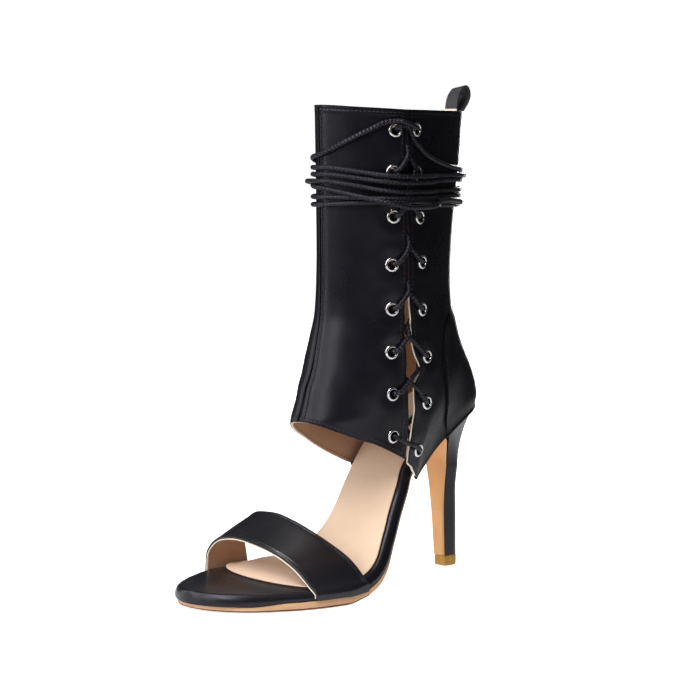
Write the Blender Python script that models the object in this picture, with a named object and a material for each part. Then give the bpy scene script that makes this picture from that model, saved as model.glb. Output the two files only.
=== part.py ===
"""Heeled open-toe boot, left foot: lace-up shaft, toe strap, wrapped footbed and stiletto heel.

Lengths are millimetres until solid() writes metres.  Shoe coordinates are x to the
outer (lateral) side, d forward from the middle of the heel tip, and z up.  In the
world, +X is lateral, the toe points to -Y and the origin lies under the ball.
"""
import math

import bmesh
import bpy
import numpy as np

for item in list(bpy.data.objects):
    bpy.data.objects.remove(item, do_unlink=True)

# driving dimensions, in millimetres
BALL_D = 130.0          # d of the world origin, under the ball of the foot
HEEL_END_D = -9.8       # rearmost point of the footbed
TOE_END_D = 185.6       # foremost point of the footbed
SEAT_ROUND = 23.0       # length of the rounded seat end
TOE_ROUND = 60.0        # length of the rounded toe end
OUTSOLE = 2.6           # outsole thickness
FOOTBED = 6.0           # wrapped board thickness
INSOCK = 1.2            # sock lining thickness
INSOCK_END_D = 146.6    # foremost point of the sock lining
INSOCK_ROUND = 24.0     # length of the sock lining's rounded front
GAP = 0.3               # clearance between neighbouring pieces
WALL = 1.6              # shaft leather with its lining
STRAP_WALL = 1.8        # toe strap leather with its lining
COUNTER = 1.0           # heel counter overlay thickness
COUNTER_LIFT = 0.4      # counter's lining side above the shaft's own surface
CORNER_D = 53.0         # where the shaft's lower edge leaves the sole
BLEND = 42.0            # height over which the sole's outline turns into the shaft's
TIP_HEIGHT = 6.0        # heel tip height
EYELET_FLANGE = 3.8     # flange radius
EYELET_BORE = 2.3       # clear hole radius
EYELET_BARREL = 2.75    # barrel radius
LACE = 2.7              # lace diameter
LOOP_WIDTH = 12.0       # pull loop width
LOOP_BAND = 1.3         # pull loop thickness
BREAST_SKIN = 1.2       # thickness of the cover on the heel's breast
SEAT_CORNER_D = 25.0    # corners of the heel's breast at the seat
SEAT_HOLLOW = 9.0       # depth of the breast's hollow at the seat
CROSS_RISE = 10.5       # rise of a lace from its eyelet to the crossing at the slit
LACE_CLEAR = 2.0        # lace centre above the leather where it crosses the slit
EYELET_LIFT = 3.0       # lace centre above the leather over an eyelet
REST_LIFT = 1.9         # lace centre above the leather where it is wound
SLIT_LIFT = 3.9         # further rise of the wound lace over the crossings
FRONT_ARC = 50.0        # length of a column unit from the slit to the front
REAR_ARC = 92.0         # length of a column unit from the back to the slit
LEG_POINTS = (6, 12, 8)  # lace points on each column unit: outer front, inside, outer back
KNOT_U = 1.5            # column of the knot
KNOT_Z = 216.5          # height of the knot

# sole stations: d, underside height, half width, centre line
SOLE = np.array([
    (-14.0, 95.3, 22.0, 0.0), (-4.0, 92.8, 22.0, 0.0), (8.0, 88.6, 22.0, 0.0),
    (20.0, 82.0, 22.3, 0.0), (32.0, 74.3, 22.2, 0.0), (42.0, 66.2, 21.9, 0.8),
    (50.0, 58.6, 21.4, 1.8), (58.0, 49.2, 21.2, 3.0), (66.0, 38.2, 21.8, 4.6),
    (74.0, 27.2, 23.6, 5.9), (84.0, 15.8, 28.0, 6.6), (96.0, 7.0, 34.6, 5.0),
    (108.0, 2.4, 39.2, 2.0), (120.0, 0.0, 41.0, -1.0), (132.0, 0.0, 41.4, -3.2),
    (146.0, 0.0, 40.8, -5.2), (160.0, 0.5, 40.0, -6.6), (190.0, 2.6, 40.5, -7.5)])

# shaft sections by height: back, widest, front on the d axis, lateral and medial half
# widths, medial widest d, then the roundness of each quarter
SHAFT = np.array([
    # z, back, slit, front, lateral, medial, medial_d, rear_p, front_p, medial_p
    (50.0, -4.0, 63.0, 104.0, 28.0, 28.0, 52.0, 2.5, 2.2, 2.3),
    (72.0, -6.5, 62.9, 108.5, 30.6, 29.5, 53.0, 2.5, 2.2, 2.3),
    (93.0, -8.6, 61.9, 112.9, 32.4, 30.5, 54.0, 2.5, 2.2, 2.25),
    (99.0, -10.1, 62.3, 111.6, 32.8, 30.8, 54.0, 2.4, 2.15, 2.2),
    (106.0, -9.7, 63.0, 109.9, 33.0, 31.0, 53.5, 2.3, 2.1, 2.1),
    (115.0, -7.5, 63.7, 107.7, 33.3, 31.0, 53.0, 2.2, 2.0, 2.0),
    (125.0, -3.0, 64.6, 104.8, 33.5, 31.0, 52.0, 2.1, 1.9, 1.9),
    (136.0, 1.4, 65.6, 102.3, 33.8, 30.8, 51.0, 2.0, 1.8, 1.75),
    (150.0, 3.7, 66.6, 99.9, 34.0, 30.5, 50.5, 1.85, 1.7, 1.6),
    (166.0, 4.2, 67.4, 99.4, 34.2, 30.5, 50.0, 1.8, 1.65, 1.55),
    (186.0, 3.4, 68.0, 99.5, 34.6, 30.6, 50.0, 1.8, 1.6, 1.5),
    (204.0, 1.2, 68.8, 99.7, 35.0, 30.8, 50.0, 1.8, 1.6, 1.5),
    (230.0, -2.6, 69.8, 99.9, 35.5, 31.0, 50.0, 1.8, 1.6, 1.5),
    (264.0, -6.8, 70.9, 100.9, 36.0, 31.0, 50.0, 1.8, 1.6, 1.5)])

# rows of the shaft's mesh, as heights along the slit
ROW_HEIGHTS = (60, 68, 76, 84, 92, 99, 107, 114, 119, 125, 133, 143, 155, 170, 190, 212, 235, 258)

# half opening of the slit by height: z, front flap, back flap
SLIT = np.array([
    (58.0, 0.4, 0.4), (70.0, 0.4, 0.4), (81.0, 0.6, 0.5), (87.0, 1.6, 0.8), (92.0, 2.2, 1.6),
    (97.0, 3.0, 2.2), (103.0, 3.2, 1.8), (110.0, 3.2, 1.7), (115.0, 3.3, 4.0), (119.0, 3.5, 7.2),
    (123.0, 3.5, 5.9), (127.0, 3.5, 3.7), (133.0, 3.6, 1.8), (143.0, 3.2, 0.7), (147.0, 3.3, 1.4),
    (152.0, 3.4, 0.9), (158.0, 2.2, 0.5), (166.0, 0.5, 0.5), (264.0, 0.5, 0.5)])

# lower edge of the shaft where it is free: d, lateral height, medial height
CUFF = np.array([
    (50.0, 58.0, 59.0), (54.0, 60.2, 61.0), (58.5, 64.6, 63.8), (63.0, 69.0, 66.0),
    (70.0, 72.6, 69.6), (83.0, 79.2, 76.6), (94.0, 84.6, 82.4), (103.0, 88.6, 87.0),
    (113.0, 92.6, 92.4)])

# rim height around the shaft, by the column parameter of surface()
RIM = np.array([(0.0, 258.7), (0.5, 260.0), (1.0, 261.2), (1.5, 259.8), (2.0, 257.8), (3.0, 258.7)])

# eyelets: front height, its distance from the middle of the slit, back height, its distance
EYELETS = np.array([
    (84.0, 11.9, 74.3, 10.6), (107.1, 13.5, 100.4, 11.8), (129.6, 12.5, 125.7, 13.7),
    (152.7, 10.4, 151.6, 11.6), (176.4, 9.9, 177.1, 12.2), (202.2, 8.6, 201.3, 10.2),
    (225.8, 8.5, 225.0, 8.4), (247.8, 7.0, 248.0, 8.0)])

# heel below the seat: z, back, breast, back half width, breast half width
HEEL = np.array([
    (6.3, -6.3, 4.8, 4.7, 3.9), (18.0, -6.2, 5.5, 4.9, 4.2), (33.0, -6.0, 6.5, 5.2, 4.8),
    (47.0, -4.9, 7.2, 6.4, 6.2), (58.0, -4.8, 7.8, 8.4, 8.0)])

# toe strap arch, from the lateral to the medial end: rear edge d, x, z, front edge d, x, z;
# strap_grid() fills in the two rows at each end, which lie on the footbed's side
STRAP = np.array([
    (106.6, 0.0, 0.0, 139.8, 0.0, 0.0), (106.9, 0.0, 0.0, 139.9, 0.0, 0.0),
    (107.1, 39.9, 15.0, 140.0, 33.6, 12.4), (107.4, 35.4, 19.8, 140.2, 29.4, 15.8),
    (107.7, 29.2, 24.2, 140.5, 22.6, 20.8), (108.8, 14.8, 31.2, 140.8, 8.0, 26.8),
    (110.8, -6.6, 37.6, 141.0, -10.5, 29.9), (113.0, -22.5, 40.4, 141.0, -22.5, 30.4),
    (114.6, -33.5, 39.6, 141.0, -34.6, 28.4), (115.7, -40.6, 36.0, 141.0, -42.4, 23.8),
    (116.3, -44.0, 29.0, 141.0, -45.8, 18.0), (116.5, 0.0, 0.0, 141.0, 0.0, 0.0),
    (116.5, 0.0, 0.0, 141.0, 0.0, 0.0)])

# counter outline: height, reach of its edge from the back seam on the column parameter
COUNTER_EDGE = np.array([
    (76.0, 0.54), (90.0, 0.60), (104.0, 0.66), (116.0, 0.67), (124.0, 0.64), (133.0, 0.54),
    (141.0, 0.39), (147.0, 0.22), (150.0, 0.10), (151.0, 0.03)])

# route of each wound lace from its top eyelet to the knot: column of surface(), counted
# on past the slit at every multiple of 3, and height
FRONT_LACE = np.array([
    (-0.045, 250.8), (0.0, 252.8), (0.1, 253.8), (0.2, 253.4), (0.45, 247.5), (1.0, 234.5),
    (2.0, 222.0), (3.0, 221.4), (4.0, 228.0), (5.0, 218.9), (6.0, 218.2), (7.0, 224.4),
    (8.0, 215.3), (9.0, 215.0), (10.0, 220.8), (10.45, 216.8)])
REAR_LACE = np.array([
    (0.08, 250.4), (0.0, 250.8), (-0.03, 248.5), (-0.045, 243.5), (-0.1, 238.5), (-0.2, 233.2),
    (-0.5, 227.6), (-1.0, 225.0), (-2.0, 217.4), (-3.0, 210.3), (-4.0, 205.6), (-5.0, 208.2),
    (-6.0, 208.7), (-7.0, 208.9), (-8.0, 212.2), (-9.0, 211.9), (-10.0, 212.0),
    (-10.45, 216.2)])


def pchip(xs, ys, at):
    """Monotone cubic interpolation of a table, held flat beyond its ends."""
    xs = np.asarray(xs, float)
    ys = np.asarray(ys, float)
    at = np.clip(np.asarray(at, float), xs[0], xs[-1])
    h = np.diff(xs)
    delta = np.diff(ys) / h
    slope = np.zeros_like(ys)
    left, right = delta[:-1], delta[1:]
    same = left * right > 0
    w1 = 2 * h[1:] + h[:-1]
    w2 = h[1:] + 2 * h[:-1]
    slope[1:-1][same] = ((w1 + w2)[same]
                         / (w1[same] / left[same] + w2[same] / right[same]))
    slope[0], slope[-1] = delta[0], delta[-1]
    i = np.clip(np.searchsorted(xs, at, side="right") - 1, 0, len(h) - 1)
    t = (at - xs[i]) / h[i]
    return (ys[i] * (1 + 2 * t) * (1 - t) ** 2 + slope[i] * h[i] * t * (1 - t) ** 2
            + ys[i + 1] * t * t * (3 - 2 * t) + slope[i + 1] * h[i] * t * t * (t - 1))


def sole_z(d):
    return pchip(SOLE[:, 0], SOLE[:, 1], d)


def sole_frame(d):
    """Point on the underside's middle line and the upward normal in the d-z plane."""
    slope = (sole_z(d + 0.2) - sole_z(d - 0.2)) / 0.4
    length = np.sqrt(1 + slope * slope)
    return sole_z(d), -slope / length, 1 / length


def half_width(d, grow=0.0, end=TOE_END_D, rounding=TOE_ROUND):
    """Half width of the sole at d, with its ends and sides moved out by grow."""
    width = pchip(SOLE[:, 0], SOLE[:, 2], d) + grow
    rear = np.clip((HEEL_END_D + SEAT_ROUND - d) / (SEAT_ROUND + grow), 0.0, 1.0)
    fore = np.clip((d - end + rounding) / (rounding + grow), 0.0, 1.0)
    return width * np.sqrt(1 - rear ** 2) * np.sqrt(1 - fore ** 2)


def centre_x(d):
    return pchip(SOLE[:, 0], SOLE[:, 3], d)


def stations(start, end, count, round_start, round_end):
    """Values of d along the sole, closer together where an end rounds off."""
    out = [start + round_start * (1 - math.cos(a)) for a in np.linspace(0.1, 1.35, 7)]
    out += list(np.linspace(start + round_start, end - round_end, count))
    out += [end - round_end * (1 - math.sin(a)) for a in np.linspace(0.25, 1.47, 8)]
    return np.array(out)


def solid(name, verts, faces, material):
    """Make one closed object from shoe coordinates."""
    verts = np.asarray(verts, float)
    world = np.stack([verts[:, 0], BALL_D - verts[:, 1], verts[:, 2]], 1) * 0.001
    mesh = bpy.data.meshes.new(name)
    mesh.from_pydata([tuple(v) for v in world], [], faces)
    bm = bmesh.new()
    bm.from_mesh(mesh)
    bmesh.ops.remove_doubles(bm, verts=bm.verts, dist=0.000002)
    bmesh.ops.triangulate(bm, faces=[f for f in bm.faces if len(f.verts) > 4])
    bmesh.ops.recalc_face_normals(bm, faces=bm.faces)
    bm.to_mesh(mesh)
    bm.free()
    obj = bpy.data.objects.new(name, mesh)
    BOOT.objects.link(obj)
    mesh.materials.append(material)
    return obj


def loft(name, rings, material):
    """Closed skin over rings of equal count, capped at both ends."""
    n = len(rings[0])
    verts = np.concatenate(rings)
    faces = []
    for i in range(len(rings) - 1):
        for j in range(n):
            k = (j + 1) % n
            faces.append((i * n + j, i * n + k, (i + 1) * n + k, (i + 1) * n + j))
    faces.append(tuple(range(n - 1, -1, -1)))
    last = (len(rings) - 1) * n
    faces.append(tuple(range(last, last + n)))
    return solid(name, verts, faces, material)


def shell(name, outer, inner, material):
    """Closed solid between two grids that share their layout."""
    rows, cols = outer.shape[:2]
    verts = np.concatenate([outer.reshape(-1, 3), inner.reshape(-1, 3)])
    half = rows * cols
    faces = []
    for i in range(rows - 1):
        for j in range(cols - 1):
            a = i * cols + j
            quad = (a, a + 1, a + cols + 1, a + cols)
            faces.append(quad)
            faces.append(tuple(half + v for v in reversed(quad)))
    edge = [j for j in range(cols)]
    edge += [i * cols + cols - 1 for i in range(1, rows)]
    edge += [(rows - 1) * cols + j for j in range(cols - 2, -1, -1)]
    edge += [i * cols for i in range(rows - 2, 0, -1)]
    for a, b in zip(edge, edge[1:] + edge[:1]):
        faces.append((a, half + a, half + b, b))
    return solid(name, verts, faces, material)


def grid_normals(grid):
    """Unit normals of a grid of points, pointing away from the shoe's middle line."""
    du = np.gradient(grid, axis=1)
    dv = np.gradient(grid, axis=0)
    normal = np.cross(du, dv)
    return normal / np.linalg.norm(normal, axis=2)[..., None]


def material(name, colour, roughness, metallic=0.0):
    mat = bpy.data.materials.new(name)
    mat.use_nodes = True
    shader = mat.node_tree.nodes["Principled BSDF"]
    shader.inputs["Base Color"].default_value = (*colour, 1.0)
    shader.inputs["Roughness"].default_value = roughness
    shader.inputs["Metallic"].default_value = metallic
    return mat


BOOT = bpy.data.collections.new("heeled_boot")
bpy.context.scene.collection.children.link(BOOT)
CUTTERS = bpy.data.collections.new("cutters")
bpy.context.scene.collection.children.link(CUTTERS)

LEATHER = material("black_leather", (0.016, 0.015, 0.018), 0.38)
LINING = material("beige_sock", (0.70, 0.53, 0.40), 0.6)
TAN = material("tan_outsole", (0.52, 0.31, 0.16), 0.55)
TIP = material("tip_rubber", (0.42, 0.25, 0.08), 0.6)
NICKEL = material("nickel", (0.72, 0.71, 0.69), 0.2, 1.0)
CORD = material("lace_cord", (0.012, 0.012, 0.014), 0.6)


# sole pieces

def slab(name, low, high, grow, flare, section, mat, end=TOE_END_D, rounding=TOE_ROUND):
    """Sole layer between two normal offsets, moved out by grow, and by flare past the arch.

    section holds (inset, share of height) pairs from the bottom up.
    """
    rings = []
    ds = stations(HEEL_END_D - grow, end + grow + flare, 17,
                  SEAT_ROUND + grow, rounding + grow + flare)
    for d in ds:
        z, nd, nz = sole_frame(d)
        ahead = min(max((d - CORNER_D - 4.0) / 16.0, 0.0), 1.0)
        half = half_width(d, grow + flare * ahead, end, rounding)
        ring = []
        for side, order in ((1, 1), (-1, -1)):
            for inset, share in section[::order]:
                off = low + (high - low) * share
                x = centre_x(d) + side * max(half - inset, 0.25 * half)
                ring.append((x, d + nd * off, z + nz * off))
        rings.append(np.array(ring))
    return loft(name, rings, mat)


TOP = OUTSOLE + GAP + FOOTBED
slab("outsole", 0.0, OUTSOLE, 0.0, 0.8, [(0.5, 0.0), (0.0, 0.25), (0.0, 1.0)], TAN)
slab("footbed", OUTSOLE + GAP, TOP, 0.0, 0.0,
     [(0.7, 0.0), (0.0, 0.15), (0.0, 0.5), (0.9, 0.8), (2.8, 1.0)], LEATHER)
slab("insock", TOP + GAP, TOP + GAP + INSOCK, -3.4, 0.0,
     [(0.3, 0.0), (0.0, 0.5), (0.5, 1.0)], LINING, INSOCK_END_D, INSOCK_ROUND)


# shaft surface

def quarter(width, depth, roundness, count=48):
    """Superellipse quarter from its widest point to its end."""
    a = np.linspace(0.0, math.pi / 2, count)
    power = 2.0 / roundness
    return np.stack([width * np.cos(a) ** power, depth * np.sin(a) ** power], 1)


def section(z):
    """Three arcs at height z: slit to front, front to back round the inside, back to slit."""
    back, slit, front, lat, med, med_d, rear_p, front_p, med_p = (
        pchip(SHAFT[:, 0], SHAFT[:, c], z) for c in range(1, 10))
    fore = quarter(lat, front - slit, front_p) + (0.0, slit)
    rear = quarter(lat, back - slit, rear_p) + (0.0, slit)
    inner_fore = quarter(-med, front - med_d, med_p) + (0.0, med_d)
    inner_rear = quarter(-med, back - med_d, max(rear_p, 1.8)) + (0.0, med_d)
    inside = np.concatenate([inner_fore[::-1], inner_rear[1:]])
    return fore, inside, rear[::-1]


def along(line, start, stop, share):
    """Point of a polyline at a share of the length left between start and stop."""
    step = np.linalg.norm(np.diff(line, axis=0), axis=1)
    run = np.concatenate([[0.0], np.cumsum(step)])
    at = start + (run[-1] - start - stop) * share
    return np.array([np.interp(at, run, line[:, k]) for k in (0, 1)])


def ring_point(u, z):
    fore, inside, rear = section(z)
    if u <= 1.0:
        return along(fore, pchip(SLIT[:, 0], SLIT[:, 1], z), 0.0, u)
    if u <= 2.0:
        return along(inside, 0.0, 0.0, u - 1.0)
    return along(rear, 0.0, pchip(SLIT[:, 0], SLIT[:, 2], z), u - 2.0)


def outline(side, count=80):
    """Sole outline outside the leather, from the back to the shaft's corner."""
    grow = GAP + WALL
    end = HEEL_END_D - grow
    run = SEAT_ROUND + grow
    ds = np.concatenate([end + run * (1 - np.cos(np.linspace(0, 1.5, count))),
                         np.linspace(end + run, CORNER_D, count)[1:]])
    ds = np.sort(ds)
    x = side * half_width(ds, grow)
    x = x + centre_x(ds) * np.clip((ds - 8.0) / 20.0, 0.0, 1.0)
    x[0] = 0.0
    return np.stack([x, ds], 1), sole_z(ds)


LATERAL_SHARE = 0.845   # share of the back flap's lower edge that lies on the sole
MEDIAL_SHARE = 0.60     # share of the inside's lower edge that lies on the sole
MEDIAL_REACH = 0.64     # counter's reach on the inside, as a share of its lateral one


def free_edge(u):
    """Height of the free lower edge under column u."""
    column = 2 if 1.0 < u <= 2.0 else 1
    z = 80.0
    for _ in range(12):
        z = float(pchip(CUFF[:, 0], CUFF[:, column], ring_point(u, z)[1]))
    return z


def lower_edge(u):
    """Lowest point of column u and how far the sole pulls it off the shaft's section."""
    if u > 2.0:
        share, side, limit = u - 2.0, 1, LATERAL_SHARE
    else:
        share, side, limit = 2.0 - u, -1, MEDIAL_SHARE
    if u <= 1.0 or share > limit:
        z = free_edge(u)
        if u <= 1.0:
            corner, fade = CORNER_PULL[1] * 0.35, max(0.0, 1 - u / 0.5)
        else:
            corner = CORNER_PULL[side]
            fade = max(0.0, 1 - (share - limit) / 0.45)
        pull = corner * fade * fade * (3 - 2 * fade)
        if u > 2.0:
            pull = CORNER_PULL[1] * (1 - 0.65 * (share - limit) / (1 - limit))
        return z, pull
    line, zs = outline(side)
    step = np.linalg.norm(np.diff(line, axis=0), axis=1)
    run = np.concatenate([[0.0], np.cumsum(step)])
    at = run[-1] * share / limit
    point = np.array([np.interp(at, run, line[:, k]) for k in (0, 1)])
    z = float(np.interp(at, run, zs))
    return z, point - ring_point(u, z)


def corner_pull(side):
    u = 2.0 + LATERAL_SHARE if side > 0 else 2.0 - MEDIAL_SHARE
    line, zs = outline(side)
    return line[-1] - ring_point(u, zs[-1])


CORNER_PULL = {1: corner_pull(1), -1: corner_pull(-1)}
KNOTS = np.unique(np.concatenate([np.linspace(0, 1, 21), np.linspace(1, 2, 41),
                                  np.linspace(2, 3, 41),
                                  [2 + LATERAL_SHARE, 2 - MEDIAL_SHARE]]))
EDGE = [lower_edge(u) for u in KNOTS]
EDGE_Z = np.array([e[0] for e in EDGE])
EDGE_PULL = np.array([e[1] for e in EDGE])


def bottom(u):
    return float(np.interp(u, KNOTS, EDGE_Z))


def top(u):
    return float(pchip(RIM[:, 0], RIM[:, 1], u))


def surface(u, z):
    """Outside of the shaft at column u and height z."""
    pull = np.array([np.interp(u, KNOTS, EDGE_PULL[:, k]) for k in (0, 1)])
    t = min(max((z - bottom(u)) / BLEND, 0.0), 1.0)
    x, d = ring_point(u, z) + pull * (1 - t) ** 2 * (1 + 2 * t)
    return np.array([x, d, z])


def surface_normal(u, z):
    low, high = max(u - 0.01, 0.0), min(u + 0.01, 3.0)
    du = surface(high, z) - surface(low, z)
    dv = surface(u, z + 1.0) - surface(u, z - 1.0)
    normal = np.cross(du, dv)
    return normal / np.linalg.norm(normal)


def combine(target, tool, operation):
    """Add an exact boolean to target and keep its tool aside, unrendered."""
    change = target.modifiers.new(operation.lower(), "BOOLEAN")
    change.operation = operation
    change.solver = "EXACT"
    change.object = tool
    BOOT.objects.unlink(tool)
    CUTTERS.objects.link(tool)
    tool.hide_render = True
    tool.display_type = "WIRE"


def patch(us, rows, low=bottom, high=top):
    """Grid of surface points between two height functions."""
    return np.array([[surface(u, low(u) + (high(u) - low(u)) * v) for u in us] for v in rows])


US = np.concatenate([np.linspace(0, 1, 9)[:-1], np.linspace(1, 2, 17)[:-1], np.linspace(2, 3, 17)])
US[np.argmin(abs(US - 2 - LATERAL_SHARE))] = 2 + LATERAL_SHARE
US[np.argmin(abs(US - 2 + MEDIAL_SHARE))] = 2 - MEDIAL_SHARE
OUTER = patch(US, (np.array(ROW_HEIGHTS) - ROW_HEIGHTS[0]) / (ROW_HEIGHTS[-1] - ROW_HEIGHTS[0]))
NORMALS = grid_normals(OUTER)
shaft = shell("shaft", OUTER, OUTER - NORMALS * WALL, LEATHER)


def eyelet_place(row, back):
    """Centre and normal of an eyelet on the outside of the leather."""
    z, inset = EYELETS[row, 2:] if back else EYELETS[row, :2]
    fore, inside, rear = section(z)
    line = rear if back else fore
    length = np.linalg.norm(np.diff(line, axis=0), axis=1).sum()
    gap = pchip(SLIT[:, 0], SLIT[:, 2 if back else 1], z)
    share = (inset - gap) / (length - gap)
    u = 3.0 - share if back else share
    return surface(u, z), surface_normal(u, z), u


def axes_of(normal):
    up = np.array([0.0, 0.0, 1.0])
    across = np.cross(up, normal)
    across = across / np.linalg.norm(across)
    return across, np.cross(normal, across)


def turned(name, place, normal, profile, sides, mat):
    """Closed solid turned about a normal; profile holds (radius, height) pairs."""
    a, b = axes_of(normal)
    verts, faces = [], []
    count = len(profile)
    for i in range(sides):
        angle = 2 * math.pi * i / sides
        out = a * math.cos(angle) + b * math.sin(angle)
        verts += [place + out * r + normal * h for r, h in profile]
    for i in range(sides):
        j = (i + 1) % sides
        for k in range(count):
            m = (k + 1) % count
            faces.append((i * count + k, j * count + k, j * count + m, i * count + m))
    return solid(name, verts, faces, mat)


HOLE = EYELET_BARREL + GAP
for row in range(len(EYELETS)):
    for back in (False, True):
        place, normal, _ = eyelet_place(row, back)
        a, b = axes_of(normal)
        rings = []
        for height in (4.0, -5.0):
            angles = [2 * math.pi * (i + 0.3) / 8 for i in range(8)]
            rings.append(np.array([place + normal * height
                                   + (a * math.cos(t) + b * math.sin(t)) * HOLE for t in angles]))
        combine(shaft, loft("cut", rings, LEATHER), "DIFFERENCE")
        label = f"eyelet_{'back' if back else 'front'}_{row + 1}"
        profile = [(EYELET_BORE, 1.0), (EYELET_BORE, -WALL - 0.9), (EYELET_BARREL, -WALL - 0.9),
                   (EYELET_BARREL, 0.45), (EYELET_FLANGE, 0.45), (EYELET_FLANGE - 0.4, 1.1)]
        turned(label, place, normal, profile, 8, NICKEL)


# heel counter

def counter_grid():
    """Points of the shaft's surface inside the counter's outline, from below the seat up."""
    peak = COUNTER_EDGE[-1, 0]
    rows = []
    for v in np.linspace(-0.1, 1, 9):
        row = []
        for w in np.linspace(-1, 1, 9):
            turn = w if w > 0 else w * MEDIAL_REACH
            low = bottom(2.0 + turn * COUNTER_EDGE[0, 1])
            z = low + (peak - low) * v
            row.append(surface(2.0 + turn * pchip(COUNTER_EDGE[:, 0], COUNTER_EDGE[:, 1], z), z))
        rows.append(row)
    return np.array(rows)


rear_columns = (US > 1.5) & (US < 2.75)
sheet = OUTER[:14, rear_columns]
lift = NORMALS[:14, rear_columns]
counter = shell("heel_counter", sheet + lift * (COUNTER_LIFT + COUNTER), sheet + lift * COUNTER_LIFT,
                LEATHER)
cover = counter_grid()
lift = grid_normals(cover)
combine(counter, shell("counter_outline", cover + lift * 3.0, cover - lift * 1.0, LEATHER),
        "INTERSECT")


# heel, breast cover and tip

BREAST_SHARES = (1.0, 0.5, 0.0, -0.5, -1.0)


def heel_level(z, back, breast, half, breast_half, count=11):
    """Round back of a heel section from one breast corner to the other, and its breast."""
    middle = (breast + back) / 2
    round_back = [(-half * math.sin(a), middle - (middle - back) * math.cos(a), z)
                  for a in np.linspace(-math.pi / 2, math.pi / 2, count)]
    breast_line = [(-breast_half * s, breast, z) for s in BREAST_SHARES]
    return np.array(round_back), np.array(breast_line)


def heel_seat(count=11):
    """The same two lines at the seat, just under the outsole."""
    grow = GAP + WALL + 0.4
    end = HEEL_END_D - grow
    run = SEAT_CORNER_D - end
    round_back = []
    for a in np.linspace(-1.0, 1.0, count):
        d = end + run * (1 - math.cos(a * math.pi / 2))
        x = -math.copysign(half_width(d, grow), a) if a else 0.0
        round_back.append((x, d, sole_z(d) - GAP - 0.25))
    corner = half_width(SEAT_CORNER_D, grow) - 0.8
    breast_line = []
    for s in BREAST_SHARES:
        d = SEAT_CORNER_D + 0.8 - SEAT_HOLLOW * (1 - s * s)
        breast_line.append((-corner * s, d, sole_z(d) - GAP - 0.25))
    return np.array(round_back), np.array(breast_line)


def heel_levels():
    levels = [heel_level(*row) for row in HEEL]
    base, seat = levels[-1], heel_seat()
    for share in (0.2, 0.4, 0.58, 0.75, 0.9, 1.0):
        mix = np.array([share ** 1.6, share ** 1.6, share])
        levels.append(tuple(b + (s - b) * mix for b, s in zip(base, seat)))
    return levels


LEVELS = heel_levels()
loft("heel", [np.concatenate([back, line]) for back, line in LEVELS], LEATHER)

cover_rings = []
for _, line in LEVELS:
    inner = line * (0.93, 1.0, 1.0) + (0.0, GAP, 0.0)
    front = line * (0.86, 1.0, 1.0) + (0.0, GAP + BREAST_SKIN, 0.0)
    for edge in (inner, front):
        edge[:, 2] = np.minimum(edge[:, 2], sole_z(edge[:, 1]) - 2.6 * GAP)
    cover_rings.append(np.concatenate([inner, front[::-1]]))
loft("heel_breast", cover_rings, TAN)

tip_rings = []
for z, grow in ((0.0, -0.4), (0.6, 0.1), (TIP_HEIGHT, 0.1)):
    _, back, breast, half, breast_half = HEEL[0]
    back_line, line = heel_level(z, back - grow, breast + BREAST_SKIN + GAP + grow,
                                 half + grow, breast_half + grow)
    tip_rings.append(np.concatenate([back_line, line]))
loft("heel_tip", tip_rings, TIP)


# toe strap

def strap_grid():
    """Outside of the strap: rows from its rear to its front edge, columns across the foot."""
    run = np.linspace(0, 1, len(STRAP))
    at = np.linspace(0, 1, 25)
    rows = []
    for v in np.linspace(0, 1, 6):
        line = STRAP[:, :3] * (1 - v) + STRAP[:, 3:] * v
        for row, side, height in ((0, 1, OUTSOLE + 2 * GAP), (1, 1, TOP - 1.2),
                                  (-1, -1, OUTSOLE + 2 * GAP), (-2, -1, TOP - 1.2)):
            d = line[row, 0]
            x = centre_x(d) + side * (half_width(d) + GAP + 0.2 + STRAP_WALL)
            line[row] = (d, x, sole_z(d) + height)
        rows.append(np.stack([pchip(run, line[:, c], at) for c in (1, 0, 2)], 1))
    return np.array(rows)


STRAP_OUT = strap_grid()
inward = grid_normals(STRAP_OUT)
shell("toe_strap", STRAP_OUT, STRAP_OUT + inward * STRAP_WALL, LEATHER)


# laces

def tube(name, points, radius, sides=6, mat=CORD):
    """Closed round cord through the points."""
    points = np.asarray(points, float)
    tangent = np.gradient(points, axis=0)
    tangent /= np.linalg.norm(tangent, axis=1)[:, None]
    side = np.cross(tangent[0], (0.0, 0.0, 1.0))
    side /= np.linalg.norm(side)
    rings = []
    for point, along_it in zip(points, tangent):
        side = side - along_it * np.dot(side, along_it)
        side /= np.linalg.norm(side)
        other = np.cross(along_it, side)
        angles = [2 * math.pi * i / sides for i in range(sides)]
        rings.append(np.array([point + radius * (side * math.cos(a) + other * math.sin(a))
                               for a in angles]))
    return loft(name, rings, mat)


def strand(row, back):
    """Part of the lace from an eyelet up to the slit and a little past it."""
    place, normal, _ = eyelet_place(row, back)
    z = EYELETS[row, ::2].mean() + CROSS_RISE
    out = surface_normal(0.0, z) + surface_normal(3.0, z)
    middle = (surface(0.0, z) + surface(3.0, z)) / 2
    cross = middle + out / np.linalg.norm(out) * (LACE_CLEAR + (0.5 if back else 0.0))
    start = place + normal * EYELET_LIFT
    bend = place + (middle - place) * 0.6 + normal * (LACE_CLEAR + 0.3)
    over = cross + (cross - bend) / np.linalg.norm(cross - bend) * 3.0
    return np.array([start, start * 0.6 + bend * 0.4 + normal * 0.3, bend, cross, over])


for row in range(1, 7):
    first = tube(f"lace_crossing_{row}", strand(row, False), LACE / 2)
    combine(first, tube(f"lace_under_{row}", strand(row, True), LACE / 2), "UNION")

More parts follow.
